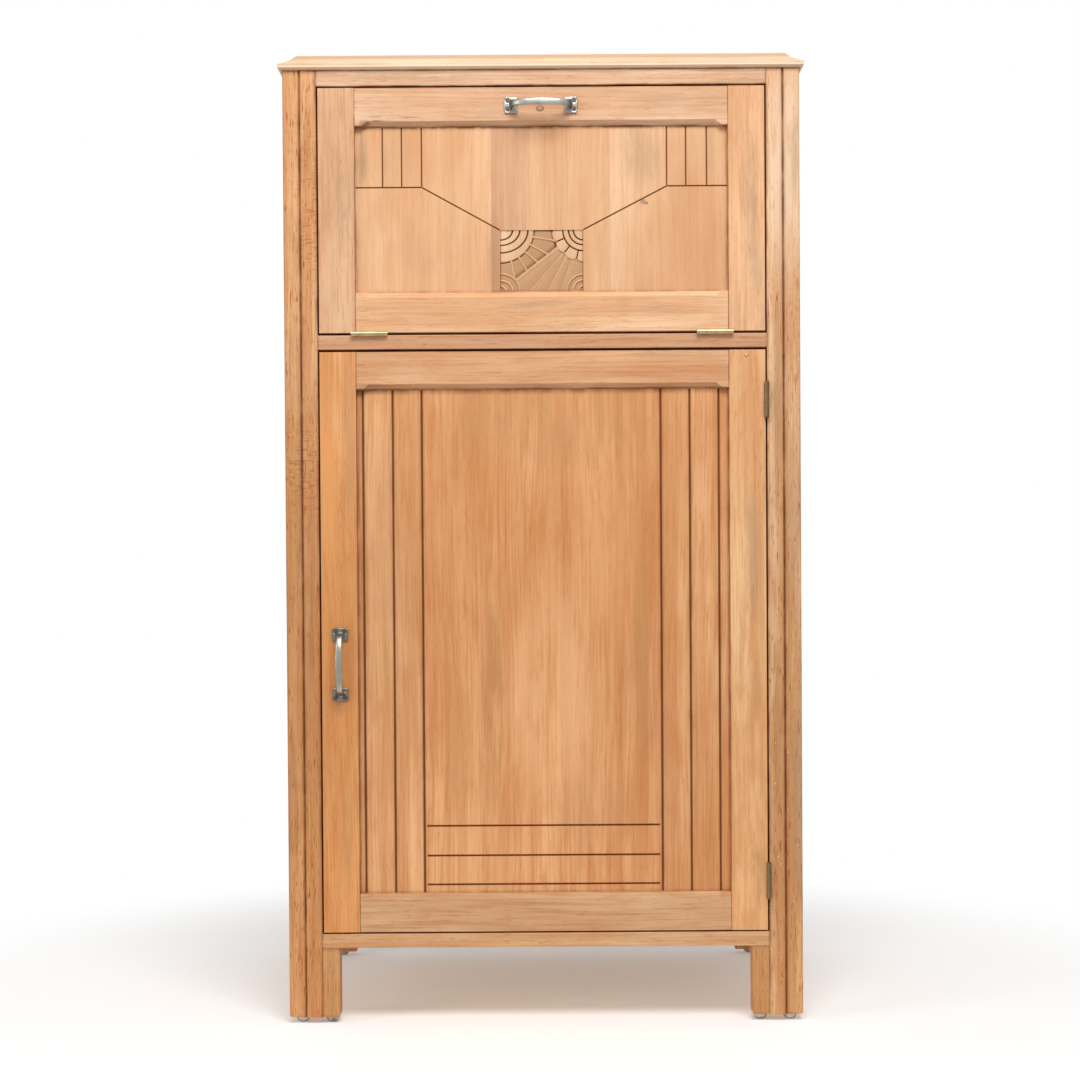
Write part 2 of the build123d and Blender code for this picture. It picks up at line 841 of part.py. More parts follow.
# ---------------------------------------------------------------- door frames
def door_stile(side, low, high, rail_top, rail_bottom, more=None):
    """An upright of a door, grooved on its inner edge for the panel."""
    with BuildPart() as stile:
        block(side_span(side, panel_half, door_half), (0, door_thickness), (low, high))
        soften(stile, Axis.Z, frame_softening)
        groove_low = low + rail_bottom - panel_tongue - panel_clearance
        groove_high = high - rail_top + panel_tongue + panel_clearance
        cut_block(
            side_span(side, panel_half, panel_half + panel_tongue + panel_clearance),
            (panel_recess, panel_recess + panel_thickness),
            (groove_low, groove_high),
        )
        if more:
            more()
    return stile


def door_rail(low, high, panel_edge, into, more=None):
    """A crosspiece of a door, with a stopped chamfer and a groove along its panel edge."""
    with BuildPart() as rail:
        block((-panel_half, panel_half), (0, door_thickness), (low, high))
        outer = high if into > 0 else low
        edges = rail.edges().filter_by(Axis.X).group_by(Axis.Y)[0]
        fillet(edges.sort_by(lambda e: abs(e.center().Z - outer))[0], radius=frame_softening)
        tongue_end = panel_edge + into * (panel_tongue + panel_clearance)
        cut_block(
            (-panel_half, panel_half),
            (panel_recess, panel_recess + panel_thickness),
            (min(panel_edge, tongue_end), max(panel_edge, tongue_end)),
        )
        cut_stopped_chamfer(panel_edge, into)
        if more:
            more()
    return rail


def door_panel_blank(low, high):
    """The flat of a panel, tongues included, before its grooves are cut."""
    edge = panel_half + panel_tongue
    block(
        (-edge, edge),
        (panel_recess, panel_recess + panel_thickness),
        (low - panel_tongue, high + panel_tongue),
    )


def door_cork(low, high, panel_low, panel_high):
    """The cork slab of a door, stepped into the opening behind its panel."""
    with BuildPart() as cork:
        block(
            (-plug_half + tray_sheet, plug_half - tray_sheet),
            (door_thickness, door_thickness + plug_depth - tray_sheet),
            (low + tray_sheet, high - tray_sheet),
        )
        block(
            (-panel_half + panel_clearance, panel_half - panel_clearance),
            (panel_recess + panel_thickness + panel_clearance, door_thickness),
            (panel_low + panel_clearance, panel_high - panel_clearance),
        )
    return cork


def door_tray(low, high):
    """The zinc tray over a door's cork."""
    with BuildPart() as tray:
        block(
            (-plug_half, plug_half),
            (door_thickness, door_thickness + plug_depth),
            (low, high),
        )
        cut_block(
            (-plug_half + tray_sheet, plug_half - tray_sheet),
            (door_thickness, door_thickness + plug_depth - tray_sheet),
            (low + tray_sheet, high - tray_sheet),
        )
    return tray


def door_gasket(low, high):
    """The rubber strip round the back of a door, mitred into one ring."""
    outer = door_half - gasket_edge
    width = 2 * outer
    height = high - low - 2 * gasket_edge
    with BuildPart() as gasket:
        with BuildSketch(face_plane(door_thickness + gasket_thickness)):
            with Locations((0, (low + high) / 2)):
                Rectangle(width, height)
                Rectangle(width - 2 * gasket_width, height - 2 * gasket_width, mode=Mode.SUBTRACT)
        extrude(amount=gasket_thickness)
    return gasket


# ---------------------------------------------------------------- pulls
def pull_screw_places(pull):
    """Planes at the screw heads of a pull, two on each end plate."""
    places = []
    for end in (-1, 1):
        for row in (-1, 1):
            along = end * (pull_length / 2 - pull_screw_in)
            local = (along, row * pull_screw_spread / 2, pull_plate_thickness)
            places.append(Plane(pull.from_local_coords(local), x_dir=pull.x_dir, z_dir=pull.z_dir))
    return places


def cut_pull_screw_holes(pull):
    """The holes of a pull's screws, through its plates or on into the wood."""
    cut_screw_holes(pull_screw_places(pull), pull_screw_length + pull_hole_spare)


def bow_pull(pull):
    """A cast pull: two screwed end plates and a bowed bar, along the plane's first axis."""
    inner_end = pull_length / 2 - pull_plate_length
    with BuildPart() as handle:
        with BuildSketch(pull):
            for end in (-1, 1):
                with Locations((end * (inner_end + pull_plate_length / 2), 0)):
                    RectangleRounded(pull_plate_length, pull_plate_width, pull_plate_corner)
        extrude(amount=pull_plate_thickness)
        foot = pull_length / 2 - pull_neck_in
        shoulder = pull_length / 2 - pull_shoulder_in
        crest = pull_projection - pull_bar_thickness / 2
        start = pull_plate_thickness / 2
        with BuildLine(Plane(pull.origin, x_dir=pull.x_dir, z_dir=-pull.y_dir)) as bow:
            FilletPolyline(
                (-foot, start), (-shoulder, crest), (shoulder, crest), (foot, start), radius=pull_bend
            )
        with BuildSketch(Plane(origin=bow.line @ 0, x_dir=pull.y_dir, z_dir=bow.line % 0)):
            RectangleRounded(pull_bar_width, pull_bar_thickness, pull_bar_rounding)
        sweep()
        cut_pull_screw_holes(pull)
    return handle


def door_screws(pull, hinge_places):
    """All the screws of one door: those of its pull and those of its hinge leaves."""
    with BuildPart() as screws:
        add_screws(pull_screw_places(pull), pull_screw_length)
        add_screws(hinge_places, hinge_screw_length)
    return screws


# ---------------------------------------------------------------- hinges
quarter = hinge_length / 4
outer_knuckles = (
    (-hinge_length / 2, -quarter - knuckle_gap / 2),
    (quarter + knuckle_gap / 2, hinge_length / 2),
)
middle_knuckle = ((-quarter + knuckle_gap / 2, quarter - knuckle_gap / 2),)


def add_leaf(hinge, gap, toward_door, knuckles):
    """One leaf: a plate in the gap and the knuckles that it carries."""
    thickness = (gap - hinge_leaf_gap) / 2
    middle = toward_door * (hinge_leaf_gap + thickness) / 2
    plate_front = pin_forward + hinge_leaf_setback
    plate_back = pin_forward + hinge_leaf_depth
    with BuildSketch(hinge.offset(-hinge_length / 2)) as plate:
        with Locations(((plate_front + plate_back) / 2, middle)):
            Rectangle(plate_back - plate_front, thickness)
    extrude(plate.sketch, amount=hinge_length)
    for low, high in knuckles:
        with BuildSketch(hinge.offset(low)) as knuckle:
            Circle(knuckle_radius)
            with Locations((plate_front / 2, middle)):
                Rectangle(plate_front, thickness)
            Circle(pin_radius + pin_clearance, mode=Mode.SUBTRACT)
        extrude(knuckle.sketch, amount=high - low)


with BuildPart() as cabinet_hinge_leaves:
    for hinge in drop_hinges:
        add_leaf(hinge, drop_gap_bottom, -1, outer_knuckles)
    for hinge in lower_hinges:
        add_leaf(hinge, door_side_gap, -1, outer_knuckles)
    cut_screw_holes(drop_rail_screws + lower_post_screws, hinge_screw_length)
save(cabinet_hinge_leaves, "cabinet_hinge_leaves")

with BuildPart() as drop_front_hinge_leaves:
    for hinge in drop_hinges:
        add_leaf(hinge, drop_gap_bottom, 1, middle_knuckle)
    cut_screw_holes(drop_door_screws, hinge_screw_length)
save(drop_front_hinge_leaves, "drop_front_hinge_leaves")

with BuildPart() as lower_door_hinge_leaves:
    for hinge in lower_hinges:
        add_leaf(hinge, door_side_gap, 1, middle_knuckle)
    cut_screw_holes(lower_door_hinge_screws, hinge_screw_length)
save(lower_door_hinge_leaves, "lower_door_hinge_leaves")

with BuildPart() as hinge_pins:
    for hinge in drop_hinges + lower_hinges:
        with BuildSketch(hinge.offset(-hinge_length / 2 - pin_tip)):
            Circle(pin_radius)
        extrude(amount=hinge_length + 2 * pin_tip)
        for end in (-1, 1):
            with BuildSketch(hinge.offset(end * (hinge_length + pin_tip) / 2)):
                Circle(pin_head_radius)
            extrude(amount=pin_tip / 2, both=True)
save(hinge_pins, "hinge_pins")

with BuildPart() as cabinet_hinge_screws:
    add_screws(drop_rail_screws + lower_post_screws, hinge_screw_length)
save(cabinet_hinge_screws, "cabinet_hinge_screws")

# ---------------------------------------------------------------- drop front
drop_pull = Plane(
    origin=(0, depth(0), drop_high - drop_pull_below_top), x_dir=(1, 0, 0), z_dir=(0, -1, 0)
)
drop_panel_low = drop_low + drop_rail_bottom
drop_panel_high = drop_high - drop_rail_top
drop_plug = (ice_floor + plug_end_clearance, ice_ceiling - plug_end_clearance)

for side, hand in ((-1, "left"), (1, "right")):
    stile = door_stile(side, drop_low, drop_high, drop_rail_top, drop_rail_bottom)
    save(stile, "drop_front_stile_" + hand)


def cut_drop_pull_holes():
    """The holes in the drop front's top rail for the screws of its pull."""
    cut_pull_screw_holes(drop_pull)


def cut_drop_hinge_holes():
    """The holes in the drop front's bottom edge for its hinge screws."""
    cut_screw_holes(drop_door_screws, hinge_hole_depth)


save(
    door_rail(drop_panel_high, drop_high, drop_panel_high, 1, cut_drop_pull_holes),
    "drop_front_top_rail",
)
save(
    door_rail(drop_low, drop_panel_low, drop_panel_low, -1, cut_drop_hinge_holes),
    "drop_front_bottom_rail",
)

tile_low = drop_panel_low + tile_above_rail
tile_high = tile_low + tile_height
with BuildPart() as drop_front_panel:
    door_panel_blank(drop_panel_low, drop_panel_high)
    cut_block(
        (-tile_width / 2, tile_width / 2),
        (panel_recess, panel_recess + tile_thickness),
        (tile_low, tile_high),
    )
    flute_low = drop_panel_high - drop_flute_length
    for side, flutes in ((-1, drop_flutes_left), (1, drop_flutes_right)):
        for inset in flutes:
            x = side * (panel_half - inset)
            cut_groove(
                (x, drop_panel_high),
                (x, flute_low),
                drop_groove_width,
                drop_groove_depth,
                panel_recess,
            )
        last = side * (panel_half - max(flutes))
        shelf_line = ((side * panel_half, flute_low), (last, flute_low))
        diagonal = ((last, flute_low), (side * tile_width / 2, tile_high))
        for start, end in (shelf_line, diagonal):
            cut_groove(start, end, drop_groove_width, drop_groove_depth, panel_recess)
save(drop_front_panel, "drop_front_panel")

with BuildPart() as carved_tile:
    half_tile = tile_width / 2 - tile_clearance
    block(
        (-half_tile, half_tile),
        (panel_recess, panel_recess + tile_thickness),
        (tile_low + tile_clearance, tile_high - tile_clearance),
    )
    tile_corners = (
        (-half_tile, tile_high),
        (half_tile, tile_high),
        (-half_tile, tile_low),
        (half_tile, tile_low),
    )
    for corner_x, corner_z in tile_corners:
        for radius in tile_ring_radii:
            with BuildSketch(Plane.XY.offset(corner_z)):
                Polygon(
                    (corner_x + radius - drop_groove_width / 2, depth(panel_recess) - 0.1),
                    (corner_x + radius + drop_groove_width / 2, depth(panel_recess) - 0.1),
                    (corner_x + radius, depth(panel_recess + drop_groove_depth)),
                    align=None,
                )
            ring_axis = Axis((corner_x, 0, corner_z), (0, 1, 0))
            revolve(axis=ring_axis, mode=Mode.SUBTRACT)
    for angle in tile_ray_angles:
        ray = (cos(radians(angle)), -sin(radians(angle)))
        near = tile_ray_start
        far = tile_ray_start + tile_ray_length
        cut_groove(
            (-half_tile + near * ray[0], tile_high + near * ray[1]),
            (-half_tile + far * ray[0], tile_high + far * ray[1]),
            drop_groove_width,
            drop_groove_depth,
            panel_recess,
        )
save(carved_tile, "carved_tile")

save(door_cork(*drop_plug, drop_panel_low, drop_panel_high), "drop_front_cork")
save(door_tray(*drop_plug), "drop_front_tray")
save(door_gasket(drop_low, drop_high), "drop_front_gasket")
save(bow_pull(drop_pull), "drop_front_pull")
save(door_screws(drop_pull, drop_door_screws), "drop_front_screws")

# ---------------------------------------------------------------- lower door
lower_pull_x = -door_half + lower_pull_from_edge
lower_pull = Plane(
    origin=(lower_pull_x, depth(0), lower_pull_above_floor), x_dir=(0, 0, 1), z_dir=(0, -1, 0)
)
lower_panel_low = lower_low + lower_rail_bottom
lower_panel_high = lower_high - lower_rail_top
lower_plug = (food_floor + plug_end_clearance, food_ceiling - plug_end_clearance)
dowel_place = Plane(
    origin=(door_half - dowel_from_edge, depth(0), lower_high - dowel_below_top),
    x_dir=(1, 0, 0),
    z_dir=(0, -1, 0),
)


def cut_lower_pull_holes():
    """The holes in the lower door's left stile for the screws of its pull."""
    cut_pull_screw_holes(lower_pull)


def cut_hinge_stile_holes():
    """The holes in the right stile: hinge screws, and the dowel that pins its top joint."""
    cut_screw_holes(lower_door_hinge_screws, hinge_hole_depth)
    with Locations(dowel_place):
        Hole(dowel_radius, depth=dowel_length)


lower_rails = (lower_rail_top, lower_rail_bottom)
for side, hand, holes in ((-1, "left", cut_lower_pull_holes), (1, "right", cut_hinge_stile_holes)):
    save(
        door_stile(side, lower_low, lower_high, *lower_rails, holes),
        "lower_door_stile_" + hand,
    )
save(door_rail(lower_panel_high, lower_high, lower_panel_high, 1), "lower_door_top_rail")
save(door_rail(lower_low, lower_panel_low, lower_panel_low, -1), "lower_door_bottom_rail")

with BuildPart() as lower_door_dowel:
    with BuildSketch(dowel_place):
        Circle(dowel_radius)
    extrude(amount=-dowel_length)
save(lower_door_dowel, "lower_door_dowel")

with BuildPart() as lower_door_panel:
    door_panel_blank(lower_panel_low, lower_panel_high)
    for side, reeds in ((-1, reeds_left), (1, reeds_right)):
        for inset in reeds:
            x = side * (panel_half - inset)
            cut_groove(
                (x, lower_panel_low), (x, lower_panel_high), reed_width, reed_depth, panel_recess
            )
    for rise in bar_heights:
        height = lower_panel_low + rise
        cut_groove(
            (-panel_half + max(reeds_left) + bar_inset, height),
            (panel_half - max(reeds_right) - bar_inset, height),
            reed_width,
            reed_depth,
            panel_recess,
        )
save(lower_door_panel, "lower_door_panel")

save(door_cork(*lower_plug, lower_panel_low, lower_panel_high), "lower_door_cork")
save(door_tray(*lower_plug), "lower_door_tray")
save(door_gasket(lower_low, lower_high), "lower_door_gasket")
save(bow_pull(lower_pull), "lower_door_pull")
save(door_screws(lower_pull, lower_door_hinge_screws), "lower_door_screws")

# ---------------------------------------------------------------- folding stays
# Places in the plane of a stay are given back from and up from the drop front's pin.
cabinet_e, cabinet_u = stay_cabinet_pivot
door_e, door_u = stay_door_pivot
opened_door_pivot = (-door_u, door_e)  # the door pivot once the drop front lies level
stay_link = hypot(cabinet_e - opened_door_pivot[0], cabinet_u - opened_door_pivot[1]) / 2
pivot_distance = hypot(door_e - cabinet_e, door_u - cabinet_u)
fold_height = (stay_link**2 - (pivot_distance / 2) ** 2) ** 0.5
stay_knee = (
    (cabinet_e + door_e) / 2 + fold_height * (door_u - cabinet_u) / pivot_distance,
    (cabinet_u + door_u) / 2 - fold_height * (door_e - cabinet_e) / pivot_distance,
)

rear_arm_outer = liner_inner_half - stay_rear_outer
rear_arm_inner = rear_arm_outer - stay_thickness
front_arm_outer = rear_arm_inner - stay_side_gap
front_arm_inner = front_arm_outer - stay_thickness
cabinet_plate_inner = liner_inner_half - stay_plate_thickness
door_plate_outer = plug_half + stay_plate_thickness
head_room = stay_side_gap / 5


def stay_place(place):
    """Y and Z of a place given back from and up from the drop front's pin."""
    return (axis_y + place[0], drop_axis_z + place[1])


def add_disc(side, near, far, place, radius, mode=Mode.ADD):
    """A disc between two distances from the middle, about a cross axis at a place."""
    low, high = side_span(side, near, far)
    with BuildSketch(Plane.YZ.offset(low)) as disc:
        with Locations(stay_place(place)):
            Circle(radius)
    extrude(disc.sketch, amount=high - low, mode=mode)


def stay_arm(side, near, far, pivot):
    """A flat arm from its pivot to the knee, bored for the stud at the pivot."""
    low, high = side_span(side, near, far)
    start = stay_place(pivot)
    end = stay_place(stay_knee)
    with BuildPart() as arm:
        with BuildSketch(Plane.YZ.offset(low)):
            with Locations(((start[0] + end[0]) / 2, (start[1] + end[1]) / 2)):
                run = end[0] - start[0]
                rise = end[1] - start[1]
                SlotCenterToCenter(
                    hypot(run, rise), stay_width, rotation=degrees(atan2(rise, run))
                )
            with Locations(start):
                Circle(stay_stud_radius + stay_stud_clearance, mode=Mode.SUBTRACT)
        extrude(amount=high - low)
    return arm


for side, hand in ((-1, "left"), (1, "right")):
    rear_arm = stay_arm(side, rear_arm_inner, rear_arm_outer, stay_cabinet_pivot)
    with rear_arm:
        knee_end = front_arm_outer + head_room
        add_disc(side, knee_end, rear_arm_inner, stay_knee, stay_stud_radius)
        add_disc(side, rear_arm_outer, rear_arm_outer + stay_rivet_head, stay_knee, stay_head_radius)
    save(rear_arm, "stay_rear_arm_" + hand)
    front_arm = stay_arm(side, front_arm_inner, front_arm_outer, stay_door_pivot)
    with front_arm:
        add_disc(side, front_arm_inner - stay_rivet_head, front_arm_inner, stay_knee, stay_head_radius)
    save(front_arm, "stay_front_arm_" + hand)

with BuildPart() as stay_brackets:
    for side in (-1, 1):
        low, high = side_span(side, cabinet_plate_inner, liner_inner_half)
        with BuildSketch(Plane.YZ.offset(low)):
            with Locations(stay_place(stay_cabinet_pivot)):
                RectangleRounded(stay_plate_length, stay_plate_height, stay_plate_height / 4)
        extrude(amount=high - low)
        head_near = front_arm_outer + head_room
        head_far = rear_arm_inner - head_room
        add_disc(side, head_far, cabinet_plate_inner, stay_cabinet_pivot, stay_stud_radius)
        add_disc(side, head_near, head_far, stay_cabinet_pivot, stay_head_radius)
save(stay_brackets, "stay_brackets")

with BuildPart() as drop_front_stay_studs:
    for side in (-1, 1):
        low, high = side_span(side, plug_half, door_plate_outer)
        with BuildSketch(Plane.YZ.offset(low)):
            with Locations(stay_place((door_e - stay_head_radius, door_u))):
                RectangleRounded(stay_plate_height, stay_plate_length, stay_plate_height / 4)
        extrude(amount=high - low)
        head_near = front_arm_outer + head_room
        head_far = rear_arm_inner - head_room
        add_disc(side, door_plate_outer, head_near, stay_door_pivot, stay_stud_radius)
        add_disc(side, head_near, head_far, stay_door_pivot, stay_head_radius)
save(drop_front_stay_studs, "drop_front_stay_studs")

# ---------------------------------------------------------------- spring catches
# Each is a bent strip: a foot on the liner, then a leaf that leans towards the door's
# tray and curls back. One presses on the drop front's side, one on the lower door's top.
foot_line = catch_sheet / 2 + joint_gap


def catch_strip(wall, toward, reach):
    """Places (depth, height off the wall) along the middle of the strip."""
    return [
        (depth(liner_front + catch_foot_back), wall + toward * foot_line),
        (depth(liner_front + catch_foot_front), wall + toward * foot_line),
        (depth(liner_front + catch_crest), wall + toward * reach),
        (depth(liner_front + catch_curl), wall + toward * (reach - catch_curl_fall)),
    ]


side_reach = plug_side_clearance - catch_gap - catch_sheet / 2
top_reach = plug_end_clearance - catch_gap - catch_sheet / 2
with BuildPart() as spring_catches:
    side_catch_z = drop_plug[1] - catch_from_plug_edge
    with BuildSketch(Plane.XY.offset(side_catch_z)):
        with BuildLine():
            Polyline(*[(x, y) for y, x in catch_strip(-liner_inner_half, 1, side_reach)])
        trace(line_width=catch_sheet)
    extrude(amount=catch_width)
    with BuildSketch(Plane.YZ.offset(-plug_half + catch_from_plug_edge)):
        with BuildLine():
            Polyline(*catch_strip(food_ceiling, -1, top_reach))
        trace(line_width=catch_sheet)
    extrude(amount=catch_width)
save(spring_catches, "spring_catches")
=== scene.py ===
# %% [markdown]
# # An icebox of the 1930s, dressed in its finishes
# The frame is the finished cabinet work: every board, liner, hinge and pull in its place,
# in metres, with X to the right, Y to the back and Z up. This lesson gives each piece its
# wood, metal, cork or rubber, and replaces three pieces with finer ones: the carved tile
# and the two cast pulls.

import json
from math import atan2, cos, degrees, hypot, pi, radians, sin

import bmesh
import bpy
from mathutils import Matrix, Vector


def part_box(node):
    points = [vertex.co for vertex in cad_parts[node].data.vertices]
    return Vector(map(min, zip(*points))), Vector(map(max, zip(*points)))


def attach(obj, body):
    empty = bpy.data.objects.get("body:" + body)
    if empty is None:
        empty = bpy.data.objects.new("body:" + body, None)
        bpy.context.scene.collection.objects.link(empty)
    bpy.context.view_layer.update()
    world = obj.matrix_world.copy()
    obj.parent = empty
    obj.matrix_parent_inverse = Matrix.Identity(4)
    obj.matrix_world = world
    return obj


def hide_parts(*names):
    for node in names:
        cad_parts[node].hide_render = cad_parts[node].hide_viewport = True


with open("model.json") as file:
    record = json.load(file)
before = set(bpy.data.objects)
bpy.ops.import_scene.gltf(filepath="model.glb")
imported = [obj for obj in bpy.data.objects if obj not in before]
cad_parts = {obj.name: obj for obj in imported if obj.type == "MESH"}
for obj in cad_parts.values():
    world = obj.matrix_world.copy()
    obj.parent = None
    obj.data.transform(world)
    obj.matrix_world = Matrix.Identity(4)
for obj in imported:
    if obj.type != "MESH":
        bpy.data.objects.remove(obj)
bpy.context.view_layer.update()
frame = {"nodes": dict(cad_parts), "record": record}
print("pieces of cabinet work:", len(frame["nodes"]))

# %% [markdown]
# ## The studio
# A tall piece of furniture is shown from a little below its middle, with a long lens, so
# that its uprights stay nearly parallel. The frame is shifted upwards rather than the
# camera turned up, which keeps the verticals straight, as in a view of a building. A
# camera held by hand is never quite level, so this one dips and leans by under a degree.

# %% Camera
camera = bpy.data.objects.new("camera", bpy.data.cameras.new("camera"))
bpy.context.scene.collection.objects.link(camera)
bpy.context.scene.camera = camera
camera_place = Vector((0.0, -2.509, 0.53))
tilt = Matrix.Rotation(radians(90 - 0.82), 4, "X")
lean = Matrix.Rotation(radians(-0.37), 4, "Z")
camera.matrix_world = Matrix.Translation(camera_place) @ tilt @ lean
camera.data.lens = 63.7
camera.data.shift_x = -0.0037
camera.data.shift_y = 0.0652
camera.data.clip_end = 60
bpy.context.scene.view_settings.view_transform = "Standard"
print("camera distance to the doors:", round(-0.209 - camera_place.y, 3), "m")

# %% [markdown]
# One broad lamp hangs in front of and above the cabinet, as a skylight would. It makes
# the upper boards paler than the legs, lights every edge that faces up, and leaves a thin
# shadow under the top board and in the gaps round the doors. A weaker one from the left
# rounds the bars of the pulls. The pale room fills the rest.


# %% Lamps and room
def lamp(name, place, aim, wide, high, watts):
    """A soft rectangular lamp that points at aim."""
    light = bpy.data.lights.new(name, "AREA")
    light.shape = "RECTANGLE"
    light.size = wide
    light.size_y = high
    light.energy = watts
    stand = bpy.data.objects.new(name, light)
    bpy.context.scene.collection.objects.link(stand)
    stand.location = place
    stand.rotation_euler = (Vector(aim) - Vector(place)).to_track_quat("-Z", "Y").to_euler()
    return stand


skylight = lamp("skylight", (0.25, -1.9, 2.9), (0.0, -0.2, 0.75), 1.6, 1.1, 59)
side_lamp = lamp("side_lamp", (-2.6, -1.7, 1.3), (0.0, -0.2, 0.6), 1.0, 1.4, 14)

room = bpy.data.worlds.new("room")
bpy.context.scene.world = room
room.use_nodes = True
room_nodes = room.node_tree.nodes
room_light = room_nodes["Background"]
room_light.inputs["Color"].default_value = (1.0, 0.99, 0.975, 1.0)
room_light.inputs["Strength"].default_value = 0.455
room_wall = room_nodes.new("ShaderNodeBackground")
room_wall.inputs["Color"].default_value = (1.0, 1.0, 1.0, 1.0)
seen_or_lit = room_nodes.new("ShaderNodeMixShader")
ray = room_nodes.new("ShaderNodeLightPath")
for tail, head in (
    (ray.outputs["Is Camera Ray"], seen_or_lit.inputs[0]),
    (room_light.outputs[0], seen_or_lit.inputs[1]),
    (room_wall.outputs[0], seen_or_lit.inputs[2]),
    (seen_or_lit.outputs[0], room_nodes["World Output"].inputs[0]),
):
    room.node_tree.links.new(tail, head)
print("lamps:", skylight.name, side_lamp.name)

# %% [markdown]
# ## Shader maths
# A finish is a sum: a pale wood, less its pores, plus the dirt and painted shade in its
# corners. Written with nodes alone that sum is hard to read, so a small class holds one
# socket and turns plus, minus and times into Math nodes. A `Finish` is one material, and
# its `node` method adds any other node.


# %% A socket that can be added and multiplied
class Flow:
    """The value that leaves one socket. Arithmetic on it adds nodes to its finish."""

    def __init__(self, finish, socket):
        self.finish = finish
        self.socket = socket

    def maths(self, operation, first, second):
        flows = [side for side in (first, second) if isinstance(side, Flow)]
        is_vector = any(side.socket.type == "VECTOR" for side in flows)
        kind = "ShaderNodeVectorMath" if is_vector else "ShaderNodeMath"
        return self.finish.node(kind, {"operation": operation}, {0: first, 1: second})

    def __add__(self, other):
        return self.maths("ADD", self, other)

    def __sub__(self, other):
        return self.maths("SUBTRACT", self, other)

    def __mul__(self, other):
        return self.maths("MULTIPLY", self, other)

    def off(self, place):
        """How far this value is from a place, either way."""
        gap = self - place
        return self.finish.node("ShaderNodeMath", {"operation": "ABSOLUTE"}, {0: gap})

    def ramp(self, start, end, low=0.0, high=1.0):
        """A soft step: low where this value is at start, high where it is at end."""
        return self.finish.node(
            "ShaderNodeMapRange",
            {"interpolation_type": "SMOOTHSTEP"},
            {"Value": self, 1: start, 2: end, 3: low, 4: high},
        )


class Finish:
    """One material. Its shader is a Principled BSDF whose sockets are set or fed."""

    def __init__(self, name):
        self.material = bpy.data.materials.new(name)
        self.material.use_nodes = True
        self.tree = self.material.node_tree
        self.shader = self.tree.nodes["Principled BSDF"]

    def plug(self, socket, value):
        if isinstance(value, Flow):
            self.tree.links.new(value.socket, socket)
        elif socket.type == "RGBA" and len(value) == 3:
            socket.default_value = (*value, 1.0)
        else:
            socket.default_value = value

    def node(self, kind, settings=None, inputs=None, output=0):
        """Add a node: its settings first, then what its sockets take. Returns an output."""
        made = self.tree.nodes.new(kind)
        for setting, value in (settings or {}).items():
            setattr(made, setting, value)
        for socket, value in (inputs or {}).items():
            self.plug(made.inputs[socket], value)
        return Flow(self, made.outputs[output])

    def mix(self, share, under, over, blend="MIX"):
        """Colour over on top of colour under, where share is one."""
        mixed = self.node("ShaderNodeMix", {"data_type": "RGBA", "blend_type": blend})
        node = mixed.socket.node
        for socket, value in ((0, share), (6, under), (7, over)):
            self.plug(node.inputs[socket], value)
        return Flow(self, node.outputs[2])

    def where(self):
        """The place on the piece, in metres, as a vector and as X, Y and Z."""
        place = self.node("ShaderNodeTexCoord", output="Object")
        parts = self.node("ShaderNodeSeparateXYZ", inputs={0: place}).socket.node
        return place, [Flow(self, parts.outputs[axis]) for axis in range(3)]

    def noise(self, place, scale, detail=2.0, roughness=0.5):
        """Soft noise from 0 to 1, centred on 0.5, with a scale per axis in turns a metre."""
        inputs = {"Vector": place * scale, "Scale": 1.0, "Detail": detail, "Roughness": roughness}
        return self.node("ShaderNodeTexNoise", inputs=inputs)

    def bump(self, height, strength, distance):
        inputs = {"Height": height, "Strength": strength, "Distance": distance}
        return self.node("ShaderNodeBump", inputs=inputs)

    def shade(self, **sockets):
        """Set or feed the shader's own sockets, named with underscores for spaces."""
        for socket, value in sockets.items():
            self.plug(self.shader.inputs[socket.replace("_", " ")], value)
        return self.material


print("a finish has", len(Finish("trial").shader.inputs), "sockets to set")
bpy.data.materials.remove(bpy.data.materials["trial"])

# %% [markdown]
# ## Stripped wood
# The doors, posts and rails are a plain hardwood that was stained once, then stripped and
# scrubbed pale. Four things make it read as wood. Broad soft bands run along the grain.
# Fine fibres lie inside them. Short dark pores stay where stain sank in. Grey smudges are
# left where the scraper missed. Every board takes its own seed, so that no two match, and
# its own direction, because the stiles stand and the rails lie.

# %% Directions of the grain
# The number of each axis, for a place's X, Y and Z.
AXES = {"X": 0, "Y": 1, "Z": 2}


def along(direction, across, length):
    """A scale per axis, with one value across the grain and another along it."""
    return tuple(length if axis == AXES[direction] else across for axis in range(3))


print("fibres of a stile:", along("Z", 420, 7))

# %% [markdown]
# Stain and dirt stay in corners: along the edge of a panel, in a cut line, in a butt
# joint. Painted shade and painted shadow are laid the same way: along the edge of a panel,
# under a chamfer, in the gaps round the doors and under the top board. One method lists
# such edges as an axis, a place on it, a reach and a strength, and lays dirt and painted
# shade along them. `cuts` gives the face that carved lines are sunk into, so that anything
# deeper is dark, as dirt and painted shade. `marks` lists the larger stains, and a few
# painted shadows, as ovals, each with a ragged edge, and `leaves` the tones of veneer laid
# side by side. Each method paints one layer over the last and returns the board, so a
# board's finish reads in the order in which it came about.

# %% A board of stripped wood
# A dark brown, laid both as dirt and as painted shade in gaps, grooves and under edges.
GRIME_AND_SHADE = (0.235, 0.080, 0.022)
SMUDGE = (0.47, 0.31, 0.18)
FOOT_TINT = (0.86, 0.80, 0.70)
LEG, SHOULDER = 0.10, 1.05  # heights between which the wood pales


def tinted(tone, share):
    """A tone made deeper and warmer (share above 0) or paler and cooler (below 0)."""
    return tuple(part * (1 - share * weight) for part, weight in zip(tone, (0.55, 0.95, 1.3)))


